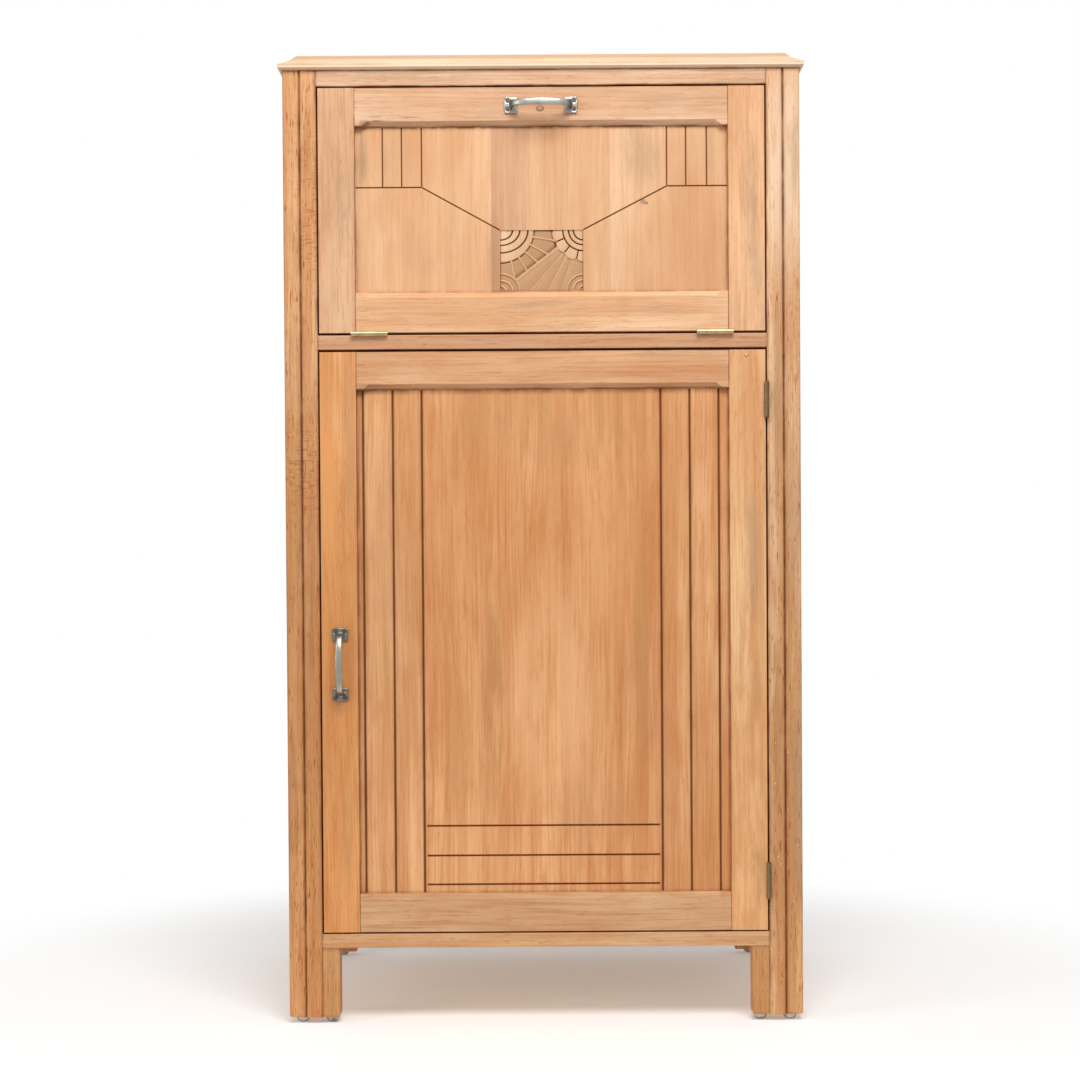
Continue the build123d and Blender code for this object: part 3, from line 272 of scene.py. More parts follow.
class Board(Finish):
    """A stripped board, painted layer by layer. Its tone is the middle of its colours."""

    def __init__(self, name, grain, tone, seed):
        super().__init__(name)
        self.grain = grain
        self.tone = tone
        place, self.xyz = self.where()
        self.place = place + (0.37 * seed, 0.23 * seed, 0.71 * seed)
        bend = self.noise(self.place, along(grain, 9, 2.2), 1.0)
        sway = self.node("ShaderNodeCombineXYZ", inputs={axis: bend * 0.022 for axis in range(3)})
        self.swayed = self.place + sway
        self.cloud = self.noise(self.place, along(grain, 8, 2.6), 3.0, 0.6)
        self.band = self.noise(self.swayed, along(grain, 46, 1.1), 3.0, 0.6)
        self.fibre = self.noise(self.swayed, along(grain, 420, 9), 2.0, 0.6)
        self.pore = self.noise(self.swayed, along(grain, 900, 62), 1.0)
        self.patch = self.noise(self.place, along(grain, 60, 22), 3.0, 0.6)
        self.colour = self.mix(self.cloud.ramp(0.3, 0.7), tinted(tone, -0.15), tinted(tone, 0.26))

    def lay(self, share, colour, blend="MIX"):
        """Paint a colour where share is one."""
        self.colour = self.mix(share, self.colour, colour, blend)
        return self

    def growth(self, bands, fibres, pores):
        """Broad bands, then fine fibres, then short dark pores."""
        self.lay(self.band.ramp(0.44, 0.66) * bands, tinted(self.tone, 0.42))
        self.lay(self.fibre.ramp(0.40, 0.72) * fibres, tinted(self.tone, 0.60))
        self.lay(self.patch.ramp(0.5, 0.72) * (0.6 * fibres), tinted(self.tone, 0.55))
        return self.lay(self.pore.ramp(0.60, 0.74) * pores, tinted(self.tone, 0.90))

    def darker_below(self, tint=FOOT_TINT):
        return self.lay(self.xyz[2].ramp(SHOULDER, LEG), tint, "MULTIPLY")

    def leaves(self, edges):
        """Leaves of veneer side by side: from each edge on, the colour is multiplied."""
        for edge, tint in edges:
            self.lay(self.xyz[0].ramp(edge - 0.0006, edge + 0.0006), tint, "MULTIPLY")
        return self

    def smudges(self, share, colour=SMUDGE):
        """Grey remains of the old stain."""
        smear = self.noise(self.swayed, along(self.grain, 42, 5.0), 4.0, 0.7)
        return self.lay(smear.ramp(0.52, 0.70) * share, colour)

    def chatter(self, share, low, high):
        """Fine ripples across the grain, left by a plane, between two heights."""
        ripple = self.noise(self.place, along(self.grain, 130, 520), 1.0, 0.5)
        lost = self.cloud.ramp(0.42, 0.6)
        zone = self.xyz[2].ramp(low - 0.05, low + 0.05) * self.xyz[2].ramp(high + 0.05, high - 0.05)
        return self.lay(ripple.ramp(0.5, 0.72) * lost * zone * share, tinted(self.tone, 0.75))

    def marks(self, places):
        """Stains and painted shadows, each an oval: middle (X, Z), half width and height, strength,
        colour.
        """
        x, _, z = self.xyz
        for middle_x, middle_z, half_width, half_height, strength, colour in places:
            across = (x - middle_x) * (1 / half_width)
            upward = (z - middle_z) * (1 / half_height)
            spread = across * across + upward * upward
            ragged = (self.patch * 0.5 + self.band * 0.5).ramp(0.36, 0.60, 0.12, 1.0)
            self.lay(spread.ramp(1.2, 0.0) * ragged * strength, colour)
        return self

    def edge_dirt_and_shade(self, edges):
        """Dirt and painted shade along edges, each an axis, a place on it, a reach and a strength.
        """
        uneven = self.patch.ramp(0.3, 0.62, 0.25, 1.0)
        for axis, edge, reach, strength in edges:
            near = self.xyz[AXES[axis]].off(edge).ramp(reach, 0)
            self.lay(near * uneven * strength, GRIME_AND_SHADE)
        return self

    def cuts(self, face, floor, strength):
        """Carved lines: the deeper behind the face, the darker, as dirt and painted shade."""
        return self.lay(self.xyz[1].ramp(face, floor) * strength, GRIME_AND_SHADE)

    def specks(self, low, high):
        """A few spatters of pale paint between two heights."""
        dot = self.noise(self.place, (330, 330, 330), 0.0)
        zone = self.xyz[2].ramp(low - 0.02, low + 0.02) * self.xyz[2].ramp(high + 0.08, high)
        return self.lay(dot.ramp(0.815, 0.83) * zone, (0.80, 0.72, 0.60))

    def finished(self):
        """The material: the colour, a scrubbed gloss and the relief of the grain."""
        height = self.fibre * 0.6 + self.pore.ramp(0.6, 0.75) * -0.8 + self.band * 0.5
        gloss = self.cloud * 0.16 + self.fibre * 0.10 + 0.44
        relief = self.bump(height, 0.35, 0.0004)
        return self.shade(
            Base_Color=self.colour, Roughness=gloss, Normal=relief, Specular_IOR_Level=0.30
        )


def dress(node, material):
    """Give a piece of the cabinet work its finish."""
    slots = frame["nodes"][node].data.materials
    slots.clear()
    slots.append(material)


# %% [markdown]
# ### The boards in turn
# Places on the front are read from the cabinet work itself: where the stiles end, where
# the panels lie, how deep the cut lines go.

# %% Places on the front
mm = 0.001
case_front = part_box("front_post_left")[0].y
post_inner, post_outer = (corner.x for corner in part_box("front_post_right"))
post_middle = (post_inner + post_outer) / 2
top_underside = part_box("top_board")[0].z
leg_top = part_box("leg_blocks")[1].z
case_rail_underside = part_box("top_rail")[0].z
drop_front_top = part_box("drop_front_top_rail")[1].z
lower_door_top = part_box("lower_door_top_rail")[1].z
opening_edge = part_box("drop_front_stile_right")[0].x
upper_panel = (
    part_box("drop_front_bottom_rail")[1].z,
    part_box("drop_front_top_rail")[0].z,
)
lower_panel = (
    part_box("lower_door_bottom_rail")[1].z,
    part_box("lower_door_top_rail")[0].z,
)
panel_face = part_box("drop_front_panel")[0].y
for name, place in (
    ("post, inner edge", post_inner),
    ("post, outer edge", post_outer),
    ("top board, underside", top_underside),
    ("legs, top", leg_top),
    ("case's top rail, underside", case_rail_underside),
    ("drop front, top", drop_front_top),
    ("lower door, top", lower_door_top),
    ("stile, inner edge", opening_edge),
):
    print(name, round(place, 4))

# %% [markdown]
# ### Posts
# The posts run from the top board to the floor, with a V-groove down the middle of each.
# Dirt packed the groove and the joint beside the doors; painted shade darkens the groove's
# flanks and that joint, and a painted shadow lies under the top board. A plane left its
# chatter on both posts, most of it on the left one, which kept a redder stain. The right
# one is paler, with a bleached patch by the drop front and a few spatters of paint at its
# foot.

# %% Posts
for hand, side, tone, seed, stains in (
    (
        "left", -1, (0.84, 0.475, 0.235), 3,
        (
            (-0.302, 0.86, 0.007, 0.16, 0.42, (0.46, 0.21, 0.085)),
            (-0.281, 0.52, 0.006, 0.14, 0.60, (0.46, 0.20, 0.075)),
            (-0.296, 0.60, 0.004, 0.12, 0.30, (0.46, 0.21, 0.085)),
            (-0.303, 0.24, 0.007, 0.16, 0.50, (0.40, 0.18, 0.075)),
            (-0.278, 1.06, 0.005, 0.07, 0.30, (0.50, 0.24, 0.10)),
        ),
    ),
    (
        "right", 1, (0.90, 0.585, 0.350), 8,
        (
            (0.292, 1.03, 0.030, 0.16, 0.65, (0.97, 0.73, 0.52)),
            (0.304, 1.04, 0.005, 0.06, 0.60, (0.46, 0.33, 0.21)),
            (0.281, 0.74, 0.006, 0.14, 0.55, (0.48, 0.28, 0.14)),
            (0.301, 0.60, 0.007, 0.14, 0.50, (0.50, 0.32, 0.18)),
            (0.280, 0.36, 0.005, 0.12, 0.50, (0.44, 0.24, 0.11)),
            (0.303, 0.26, 0.007, 0.14, 0.55, (0.44, 0.29, 0.17)),
        ),
    ),
):
    post = Board("post_wood_" + hand, "Z", tone, seed).growth(0.75, 0.55, 0.85)
    post.chatter(0.85 if hand == "left" else 0.30, 0.62, 1.06)
    # Dirt in the groove and beside the doors, painted shade on the groove's flanks and in the door
    # gap, and painted shadow under the top board.
    post.darker_below((0.83, 0.75, 0.62)).smudges(0.18).marks(stains).edge_dirt_and_shade(
        (
            ("X", side * post_middle, 6.0 * mm, 0.42),
            ("X", side * post_middle, 2.0 * mm, 0.85),
            ("X", side * post_inner, 4.0 * mm, 0.6),
            ("X", side * post_outer, 2.5 * mm, 0.30),
            ("Z", top_underside, 3.0 * mm, 0.8),
        )
    )
    if hand == "right":
        post.specks(0.06, 0.36)
    dress("front_post_" + hand, post.finished())
    print(hand, "post:", len(stains), "stains")

# %% [markdown]
# ### Legs, rear posts and top board
# The blocks that thicken the legs are darker than the posts beside them, and darkest just
# under the bottom rail. The top board is the palest piece of the case. Its edge is moulded.
# The nose that sticks out furthest faces down into shade and is painted pale, as painted
# light; the small riser above the bevel holds a brown line, darkened further with painted
# shade, and a painted shadow lies along the board's underside.

# %% Legs, rear posts and top board
legs = Board("leg_wood", "Z", (0.64, 0.345, 0.138), 12).growth(0.6, 0.5, 0.6).smudges(0.3)
legs.edge_dirt_and_shade([("X", side * post_inner, 2 * mm, 0.6) for side in (1, -1)])
# A darker band at the top of the blocks, just under the bottom rail.
legs.edge_dirt_and_shade((("Z", leg_top, 6 * mm, 0.5),))
dress("leg_blocks", legs.finished())

rear = Board("rear_post_wood", "Z", (0.66, 0.35, 0.17), 14).growth(0.6, 0.5, 0.6)
dress("rear_posts", rear.darker_below().smudges(0.4).finished())

top = Board("top_wood", "X", (0.86, 0.625, 0.42), 17).growth(0.35, 0.35, 0.3).smudges(0.3)
above = top.xyz[2] - top_underside
# Painted shade on the riser above the bevel, over its brown line.
riser_shade = above.ramp(15.2 * mm, 16.2 * mm) * above.ramp(21.8 * mm, 21.2 * mm)
top.lay(riser_shade * 0.85, (0.60, 0.37, 0.23))
# Painted light: the nose is made paler where it faces down into shade.
nose_light = above.ramp(1.0 * mm, 2.0 * mm) * above.ramp(5.5 * mm, 4.5 * mm)
top.lay(nose_light * 0.8, (1.0, 0.77, 0.57))
# Painted shadow along the underside of the nose.
top.edge_dirt_and_shade((("Z", top_underside, 1.1 * mm, 0.95),))
dress("top_board", top.finished())

# %% [markdown]
# ### Rails of the case
# Three rails lie between the posts. Each butts against a post at both ends, and dirt
# stays in that joint. Along the top rail's two long edges a painted shadow lies: in the
# gap above the drop front and under the top board.

# %% Rails of the case
for node, tone, seed in (
    ("top_rail", (0.88, 0.62, 0.44), 21),
    ("mid_rail", (0.74, 0.43, 0.255), 22),
    ("bottom_rail", (0.73, 0.45, 0.245), 23),
):
    rail = Board(node + "_wood", "X", tone, seed).growth(0.55, 0.45, 0.45).smudges(0.35)
    rail.edge_dirt_and_shade([("X", side * post_inner, 3 * mm, 0.7) for side in (-1, 1)])
    # Painted shadow along the top rail's long edges: in the gap above the drop front and under the
    # top board.
    rail.edge_dirt_and_shade((("Z", case_rail_underside, 2.4 * mm, 1.0), ("Z", top_underside, 2.0 * mm, 0.8)))
    dress(node, rail.finished())

# %% [markdown]
# ### The drop front
# Its frame is paler than the lower door's. Grey stains are left beside the pull, at the foot
# of the left stile and along the right one. Its panel is veneered in upright leaves, and
# a darker leaf stands left of the middle.

# %% Drop front
GREY = (0.45, 0.315, 0.195)
drop_stains_and_shadows = (
    (-0.244, 1.093, 0.010, 0.014, 0.55, GREY),
    (-0.240, 0.985, 0.010, 0.075, 0.55, GREY),
    (-0.252, 0.885, 0.012, 0.050, 0.40, GREY),
    (0.252, 0.985, 0.009, 0.120, 0.50, (0.46, 0.33, 0.20)),
    # Painted shade at the stop of the top rail's chamfer.
    (-0.211, 1.083, 0.008, 0.0045, 0.80, (0.26, 0.16, 0.09)),
    (-0.200, 1.0905, 0.011, 0.0013, 1.0, (0.24, 0.14, 0.08)),
    (-0.196, 1.0855, 0.009, 0.0011, 1.0, (0.24, 0.14, 0.08)),
    (-0.190, 1.0950, 0.007, 0.0010, 1.0, (0.24, 0.14, 0.08)),
    (-0.158, 1.0895, 0.015, 0.0010, 1.0, (0.30, 0.15, 0.08)),
    (-0.062, 1.088, 0.020, 0.016, 0.50, GREY),
    (0.022, 0.838, 0.060, 0.006, 0.45, (0.45, 0.30, 0.18)),
    # Painted shadow under the pull's two plates.
    (-0.037, 1.0915, 0.012, 0.0030, 0.95, (0.20, 0.10, 0.05)),
    (0.037, 1.0915, 0.012, 0.0030, 0.95, (0.20, 0.10, 0.05)),
)
old_hole = (
    (-0.0010, 1.0990, 0.0055, 0.0040, 1.0, (0.11, 0.045, 0.018)),
    (-0.0010, 1.0995, 0.0036, 0.0026, 1.0, (0.70, 0.42, 0.24)),
)
for node, grain, tone, seed in (
    ("drop_front_stile_left", "Z", (0.81, 0.49, 0.29), 31),
    ("drop_front_stile_right", "Z", (0.85, 0.475, 0.25), 32),
    ("drop_front_top_rail", "X", (0.85, 0.545, 0.35), 33),
    ("drop_front_bottom_rail", "X", (0.94, 0.60, 0.36), 34),
):
    board = Board(node + "_wood", grain, tone, seed).growth(0.45, 0.40, 0.30).smudges(0.40)
    board.marks(drop_stains_and_shadows)
    if node == "drop_front_top_rail":
        board.marks(old_hole + old_hole)
    board.edge_dirt_and_shade([("X", side * opening_edge, 1.3 * mm, 0.85) for side in (-1, 1)])
    if grain == "X":
        # On the rails: painted shadow along the panel's top edge under the chamfer, and in the gap
        # above the door.
        board.edge_dirt_and_shade((("Z", upper_panel[1], 2.6 * mm, 0.95), ("Z", drop_front_top, 1.6 * mm, 0.7)))
    dress(node, board.finished())

panel = Board("drop_front_panel_wood", "Z", (0.91, 0.555, 0.315), 36).growth(0.35, 0.24, 0.12)
panel.leaves(
    ((-0.0605, (0.80, 0.73, 0.73)), (-0.0135, (1.11, 1.14, 1.08)), (0.083, (1.08, 1.13, 1.19)))
)
panel.smudges(0.15).marks(
    (
        (-0.185, 1.045, 0.038, 0.040, 0.40, (0.56, 0.36, 0.19)),
        (-0.216, 1.040, 0.007, 0.036, 0.60, (0.42, 0.27, 0.15)),
        (-0.191, 1.048, 0.006, 0.034, 0.55, (0.42, 0.27, 0.15)),
        (-0.150, 0.930, 0.030, 0.030, 0.30, (0.66, 0.38, 0.20)),
        (0.118, 1.045, 0.036, 0.042, 0.45, (0.50, 0.33, 0.19)),
        (0.195, 1.050, 0.030, 0.040, 0.35, (0.58, 0.38, 0.21)),
        (-0.058, 0.925, 0.009, 0.060, 0.55, (0.48, 0.28, 0.16)),
        (0.1225, 0.9885, 0.0045, 0.0040, 0.8, (0.36, 0.24, 0.16)),
        (0.1265, 0.9865, 0.0025, 0.0020, 0.9, (0.24, 0.13, 0.08)),
        (-0.190, 0.985, 0.010, 0.040, 0.30, (0.58, 0.33, 0.16)),
    )
)
# Dirt and painted shade along the panel's edges, and a painted shadow under the top rail's chamfer.
panel.edge_dirt_and_shade(
    (
        ("X", -opening_edge, 5 * mm, 0.5),
        ("X", opening_edge, 5 * mm, 0.5),
        ("Z", upper_panel[0], 5 * mm, 0.40),
        ("Z", upper_panel[1], 4 * mm, 0.95),
    )
)
# Dirt and painted shade in the cut lines.
panel.cuts(panel_face + 0.15 * mm, panel_face + 1.0 * mm, 0.95)
dress("drop_front_panel", panel.finished())

# %% [markdown]
# ### The lower door
# It is warmer than the drop front. The left stile is the clearest orange, and hands have
# darkened it beside the pull.

# %% Lower door
door_stains_and_shadow = (
    (-0.258, 0.660, 0.010, 0.140, 0.55, (0.93, 0.42, 0.14)),
    (-0.232, 0.700, 0.007, 0.110, 0.45, (0.58, 0.34, 0.18)),
    (-0.234, 0.445, 0.007, 0.060, 0.60, (0.50, 0.19, 0.06)),
    (-0.246, 0.385, 0.016, 0.016, 0.50, (0.52, 0.23, 0.09)),
    (-0.238, 0.240, 0.010, 0.110, 0.40, (0.58, 0.29, 0.12)),
    (0.254, 0.560, 0.010, 0.080, 0.50, (0.52, 0.32, 0.17)),
    (0.256, 0.400, 0.007, 0.050, 0.55, (0.46, 0.22, 0.09)),
    (0.246, 0.240, 0.040, 0.260, 0.90, (0.68, 0.33, 0.13)),
    (0.256, 0.180, 0.008, 0.060, 0.45, (0.44, 0.25, 0.12)),
    # Painted shade at the stop of the top rail's chamfer.
    (-0.205, 0.768, 0.022, 0.005, 0.80, (0.26, 0.17, 0.10)),
)
for node, grain, tone, seed in (
    ("lower_door_stile_left", "Z", (0.92, 0.49, 0.218), 41),
    ("lower_door_stile_right", "Z", (0.96, 0.590, 0.320), 42),
    ("lower_door_top_rail", "X", (0.85, 0.505, 0.292), 43),
    ("lower_door_bottom_rail", "X", (0.74, 0.475, 0.290), 44),
):
    board = Board(node + "_wood", grain, tone, seed).growth(0.75, 0.50, 0.30).smudges(0.30)
    board.darker_below((0.92, 0.86, 0.76)).marks(door_stains_and_shadow)
    board.edge_dirt_and_shade([("X", side * opening_edge, 1.3 * mm, 0.85) for side in (-1, 1)])
    if grain == "X":
        # On the rails: painted shadow along the panel's top edge under the chamfer, and in the gap
        # above the door.
        board.edge_dirt_and_shade((("Z", lower_panel[1], 2.6 * mm, 0.95), ("Z", lower_door_top, 1.6 * mm, 0.7)))
    dress(node, board.finished())

lower_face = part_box("lower_door_panel")[0].y
panel = Board("lower_door_panel_wood", "Z", (0.88, 0.475, 0.222), 46).growth(0.65, 0.50, 0.20)
panel.leaves(
    ((-0.146, (0.99, 0.94, 0.90)), (0.02, (0.98, 0.97, 0.97)), (0.142, (1.03, 1.09, 1.14)))
)
panel.darker_below((0.92, 0.91, 0.90)).smudges(0.10, (0.55, 0.32, 0.17)).marks(
    (
        (0.010, 0.400, 0.060, 0.170, 0.60, (0.93, 0.52, 0.26)),
        (0.075, 0.560, 0.050, 0.120, 0.40, (0.90, 0.47, 0.22)),
        (-0.062, 0.400, 0.016, 0.170, 0.60, (0.52, 0.24, 0.09)),
        (-0.100, 0.330, 0.020, 0.120, 0.30, (0.60, 0.29, 0.12)),
        (0.118, 0.440, 0.014, 0.160, 0.50, (0.54, 0.26, 0.10)),
        (0.050, 0.260, 0.060, 0.050, 0.35, (0.60, 0.30, 0.13)),
        (0.000, 0.725, 0.150, 0.060, 0.45, (0.60, 0.32, 0.14)),
        (-0.190, 0.560, 0.026, 0.200, 0.35, (0.62, 0.35, 0.18)),
        (-0.160, 0.480, 0.010, 0.160, 0.30, (0.56, 0.27, 0.12)),
    )
)
# The reeds' edges, as millimetres in from the left stile and from the right one.
left_reeds, right_reeds = (7.0, 43.0, 78.0), (12.0, 47.0, 82.0)
reeds = [-opening_edge + inset * mm for inset in left_reeds]
reeds += [opening_edge - inset * mm for inset in right_reeds]
# Painted shade on the flanks of each reed.
panel.edge_dirt_and_shade([("X", reed, 5 * mm, 0.38) for reed in reeds])
# Dirt and painted shade along the panel's edges, and a painted shadow under the top rail.
panel.edge_dirt_and_shade(
    (
        ("X", -opening_edge, 4 * mm, 0.7),
        ("X", opening_edge, 4 * mm, 0.7),
        ("Z", lower_panel[0], 5 * mm, 0.4),
        ("Z", lower_panel[1], 8 * mm, 0.65),
    )
)
# Dirt and painted shade in the reeds' cut lines.
panel.cuts(lower_face + 0.2 * mm, lower_face + 2.0 * mm, 0.92)
dress("lower_door_panel", panel.finished())

# %% [markdown]
# A dowel plugs an old hole in the lower door. It shows its end grain, paler than the ring
# of dirt round it, so one light oval is laid twice over a dark board.

# %% Dowel
dowel = Board("dowel_wood", "Y", (0.34, 0.14, 0.055), 48).growth(0.3, 0.4, 0.6)
dowel_low, dowel_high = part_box("lower_door_dowel")
dowel_x, dowel_z = (dowel_low.x + dowel_high.x) / 2, (dowel_low.z + dowel_high.z) / 2
dowel_end = (dowel_x, dowel_z + 0.7 * mm, 2.9 * mm, 2.9 * mm, 1.0, (0.84, 0.50, 0.27))
dress("lower_door_dowel", dowel.marks((dowel_end, dowel_end)).finished())
print("dowel at", round(dowel_x, 4), round(dowel_z, 4))

# %% [markdown]
# ### Sides, back and inside
# The sides were stripped like the front. The back never was: it kept more of its stain.
# The boards inside are deal, pale and close.

# %% Sides, back and inner boards
for node, grain, tone, seed, share in (
    ("side_rails", "Y", (0.76, 0.43, 0.22), 51, 0.25),
    ("side_panels", "Z", (0.78, 0.43, 0.21), 52, 0.25),
    ("back_boards", "Z", (0.46, 0.25, 0.115), 53, 0.0),
    ("back_rails", "X", (0.50, 0.27, 0.125), 54, 0.0),
    ("floor_board", "X", (0.72, 0.50, 0.27), 61, 0.2),
    ("divider_board", "X", (0.72, 0.50, 0.27), 62, 0.2),
    ("stop_strips", "Z", (0.70, 0.46, 0.25), 63, 0.3),
    ("ice_rack", "X", (0.60, 0.46, 0.31), 64, 0.5),
):
    board = Board(node + "_wood", grain, tone, seed).growth(0.6, 0.5, 0.5).smudges(share)
    dress(node, board.darker_below((0.92, 0.88, 0.82)).finished())
    print(node, "is", grain, "grained")

# %% [markdown]
# ## Cork, zinc, wire and rubber
# The box behind the doors is packed with slabs of pressed cork: grains a few millimetres
# wide, baked dark where they meet. A Voronoi texture has just that pattern, with one
# colour to each cell and a distance to the nearest wall. Zinc sheet has the same pattern
# at a larger size, as the spangle of its crystals, and it dulls in clouds.


# %% Grains of any size
def grains(look, place, scale):
    """A shade from 0 to 1 for each grain, and how far a place is from its grain's wall."""
    inputs = {"Vector": place, "Scale": scale}
    cell = look.node("ShaderNodeTexVoronoi", {"feature": "F1"}, inputs, output=1)
    shade = look.node("ShaderNodeSeparateColor", inputs={0: cell})
    wall = look.node("ShaderNodeTexVoronoi", {"feature": "DISTANCE_TO_EDGE"}, inputs)
    return shade, wall


def cork():
    look = Finish("pressed_cork")
    place, _ = look.where()
    shade, wall = grains(look, place, 310)
    fine, _ = grains(look, place, 900)
    colour = look.mix(shade, (0.23, 0.105, 0.042), (0.52, 0.30, 0.145))
    colour = look.mix(fine.ramp(0.75, 0.9) * 0.6, colour, (0.10, 0.045, 0.02))
    colour = look.mix(wall.ramp(0.10, 0.0) * 0.75, colour, (0.07, 0.03, 0.015))
    relief = look.bump(wall.ramp(0.0, 0.2) + shade * 0.4, 0.6, 0.0006)
    return look.shade(Base_Color=colour, Roughness=0.92, Normal=relief)


def zinc(name, bright, dull, seed):
    look = Finish(name)
    place, _ = look.where()
    place = place + (seed, seed, seed)
    shade, _ = grains(look, place, 70)
    cloud = look.noise(place, (9, 9, 9), 4.0, 0.6)
    scratch = look.noise(place, (900, 900, 14), 2.0)
    stain = look.noise(place, (26, 26, 9), 3.0, 0.6)
    colour = look.mix(shade.ramp(0.0, 1.0) * 0.5, bright, dull)
    colour = look.mix(cloud.ramp(0.4, 0.7) * 0.7, colour, dull)
    colour = look.mix(stain.ramp(0.6, 0.75) * 0.5, colour, (0.50, 0.49, 0.46))
    gloss = shade * 0.12 + cloud * 0.28 + scratch * 0.10 + 0.22
    relief = look.bump(scratch + cloud, 0.25, 0.0003)
    return look.shade(Base_Color=colour, Roughness=gloss, Normal=relief, Metallic=0.85)


def rubber():
    look = Finish("door_rubber")
    place, _ = look.where()
    bloom = look.noise(place, (30, 30, 30), 4.0, 0.6)
    pits = look.noise(place, (700, 700, 700), 2.0)
    colour = look.mix(bloom.ramp(0.35, 0.7), (0.035, 0.032, 0.030), (0.12, 0.11, 0.10))
    return look.shade(
        Base_Color=colour, Roughness=bloom * 0.2 + 0.6, Normal=look.bump(pits, 0.4, 0.0003)
    )


pressed_cork, door_rubber = cork(), rubber()
print("soft goods behind the doors:", pressed_cork.name, door_rubber.name)

# %% [markdown]
# ## Metals
# Cast, drawn and rolled metals differ in tone, in how far they are worn, and in the grime
# that stays where they meet the wood. `metal` takes those three. The pulls were nickelled
# and are worn satin; the hinges of the drop front are pale brass, and those of the lower
# door have browned.


# %% A worn metal
def metal(name, tone, tarnish, seed, worn=0.5, rough=0.34):
    """A metal. Returns its finish, and the colour and the gloss still to be fed to it."""
    look = Finish(name)
    place, _ = look.where()
    place = place + (seed * 0.31, seed * 0.17, seed * 0.53)
    cloud = look.noise(place, (90, 90, 90), 4.0, 0.62)
    brushed = look.noise(place, (140, 140, 140), 3.0, 0.6)
    speck = look.noise(place, (1300, 1300, 1300), 1.0)
    colour = look.mix(cloud.ramp(0.38, 0.72) * worn, tone, tarnish)
    colour = look.mix(speck.ramp(0.68, 0.78) * 0.5, colour, tarnish)
    gloss = cloud * 0.30 + brushed * 0.16 + (rough - 0.22)
    relief = look.bump(brushed + cloud + speck * 0.3, 0.3, 0.0002)
    look.shade(Normal=relief, Metallic=1.0)
    return look, colour, gloss


def plain_metal(*facts, **wear):
    look, colour, gloss = metal(*facts, **wear)
    return look.shade(Base_Color=colour, Roughness=gloss)


def hinge_brass(name, seed):
    """Brass that is pale at the drop front and brown at the lower door."""
    look, colour, gloss = metal(name, (0.78, 0.60, 0.33), (0.36, 0.24, 0.10), seed, 0.6, 0.38)
    _, (_, _, z) = look.where()
    below = z.ramp(lower_door_top - 9 * mm, lower_door_top - 29 * mm)
    colour = look.mix(below * 0.75, colour, (0.16, 0.10, 0.045))
    return look.shade(Base_Color=colour, Roughness=gloss + below * 0.12)


slot_finish = {
    "cork": pressed_cork,
    "zinc": zinc("zinc_sheet", (0.68, 0.69, 0.70), (0.42, 0.43, 0.45), 2),
    "tinned_wire": plain_metal("tinned_wire", (0.62, 0.62, 0.60), (0.30, 0.28, 0.25), 5),
    "glide_steel": plain_metal("glide_steel", (0.50, 0.48, 0.45), (0.13, 0.10, 0.08), 6, worn=0.8),
    "nickel": plain_metal("screw_nickel", (0.26, 0.24, 0.21), (0.08, 0.065, 0.05), 7, worn=0.8),
    "brass": hinge_brass("old_brass", 8),
    "rubber": door_rubber,
}
for part in frame["record"]["subparts"]:
    node, slot = part["node"], part["material_slot"]
    if slot in slot_finish:
        dress(node, slot_finish[slot])
print("slots with one finish each:", sorted(slot_finish))

# %% [markdown]
# ## The pulls
# Each pull is one casting: two plates, a bowed bar between them, and necks that flare like
# a fish's tail where the bar meets a plate. A caster's pattern has no sharp inner corners.
# The bar and the plates are lofted as three closed bodies that run into one another. A
# voxel remesh then makes them one skin, and a little smoothing rounds the corners as sand
# and polishing do.

# %% Sizes of a pull, in millimetres
pull_half = 44.5
plate_length = 16.5
plate_half_width = 10.0
bow_foot = 36.0
bow_crest = 19.5
bow_power, bar_power = 2.5, 2.9  # superellipse powers of the bow and of its section
bar_width, bar_swell, neck_flare = 7.4, 1.6, 8.2
bar_thickness, neck_thinning = 4.4, 1.2
neck_height = 13.0
screw_along = pull_half - 4.6
screw_across = 5.25
seat_radius, seat_floor = 3.3, 1.9  # the sunk seat of each screw
print("a pull is", 2 * pull_half, "mm long and its bow stands", bow_crest, "mm high")

# %% [markdown]
# A loft joins closed rings of equal length, as a plank builder joins frames. The bar's
# rings stand square to its path, and a superellipse gives both: a bow that is flatter in
# the middle than a circle, and a section with soft corners. The plates are rings stacked
# outwards from the door, smaller towards the top for their bevel.

# %% Lofting
def loft(mesh, rings):
    """Skin a row of closed rings of equal length, and cap both ends."""
    rows = [[mesh.verts.new(place) for place in ring] for ring in rings]
    for row, following in zip(rows, rows[1:]):
        for turn in range(len(row)):
            after = (turn + 1) % len(row)
            mesh.faces.new((row[turn], row[after], following[after], following[turn]))
    mesh.faces.new(list(reversed(rows[0])))
    mesh.faces.new(rows[-1])


def squared(angle, power):
    """A place on a superellipse: a rounder or squarer circle."""
    c, s = cos(angle), sin(angle)
    share = 2 / power
    return abs(c) ** share * (1 if c > 0 else -1), abs(s) ** share * (1 if s > 0 else -1)


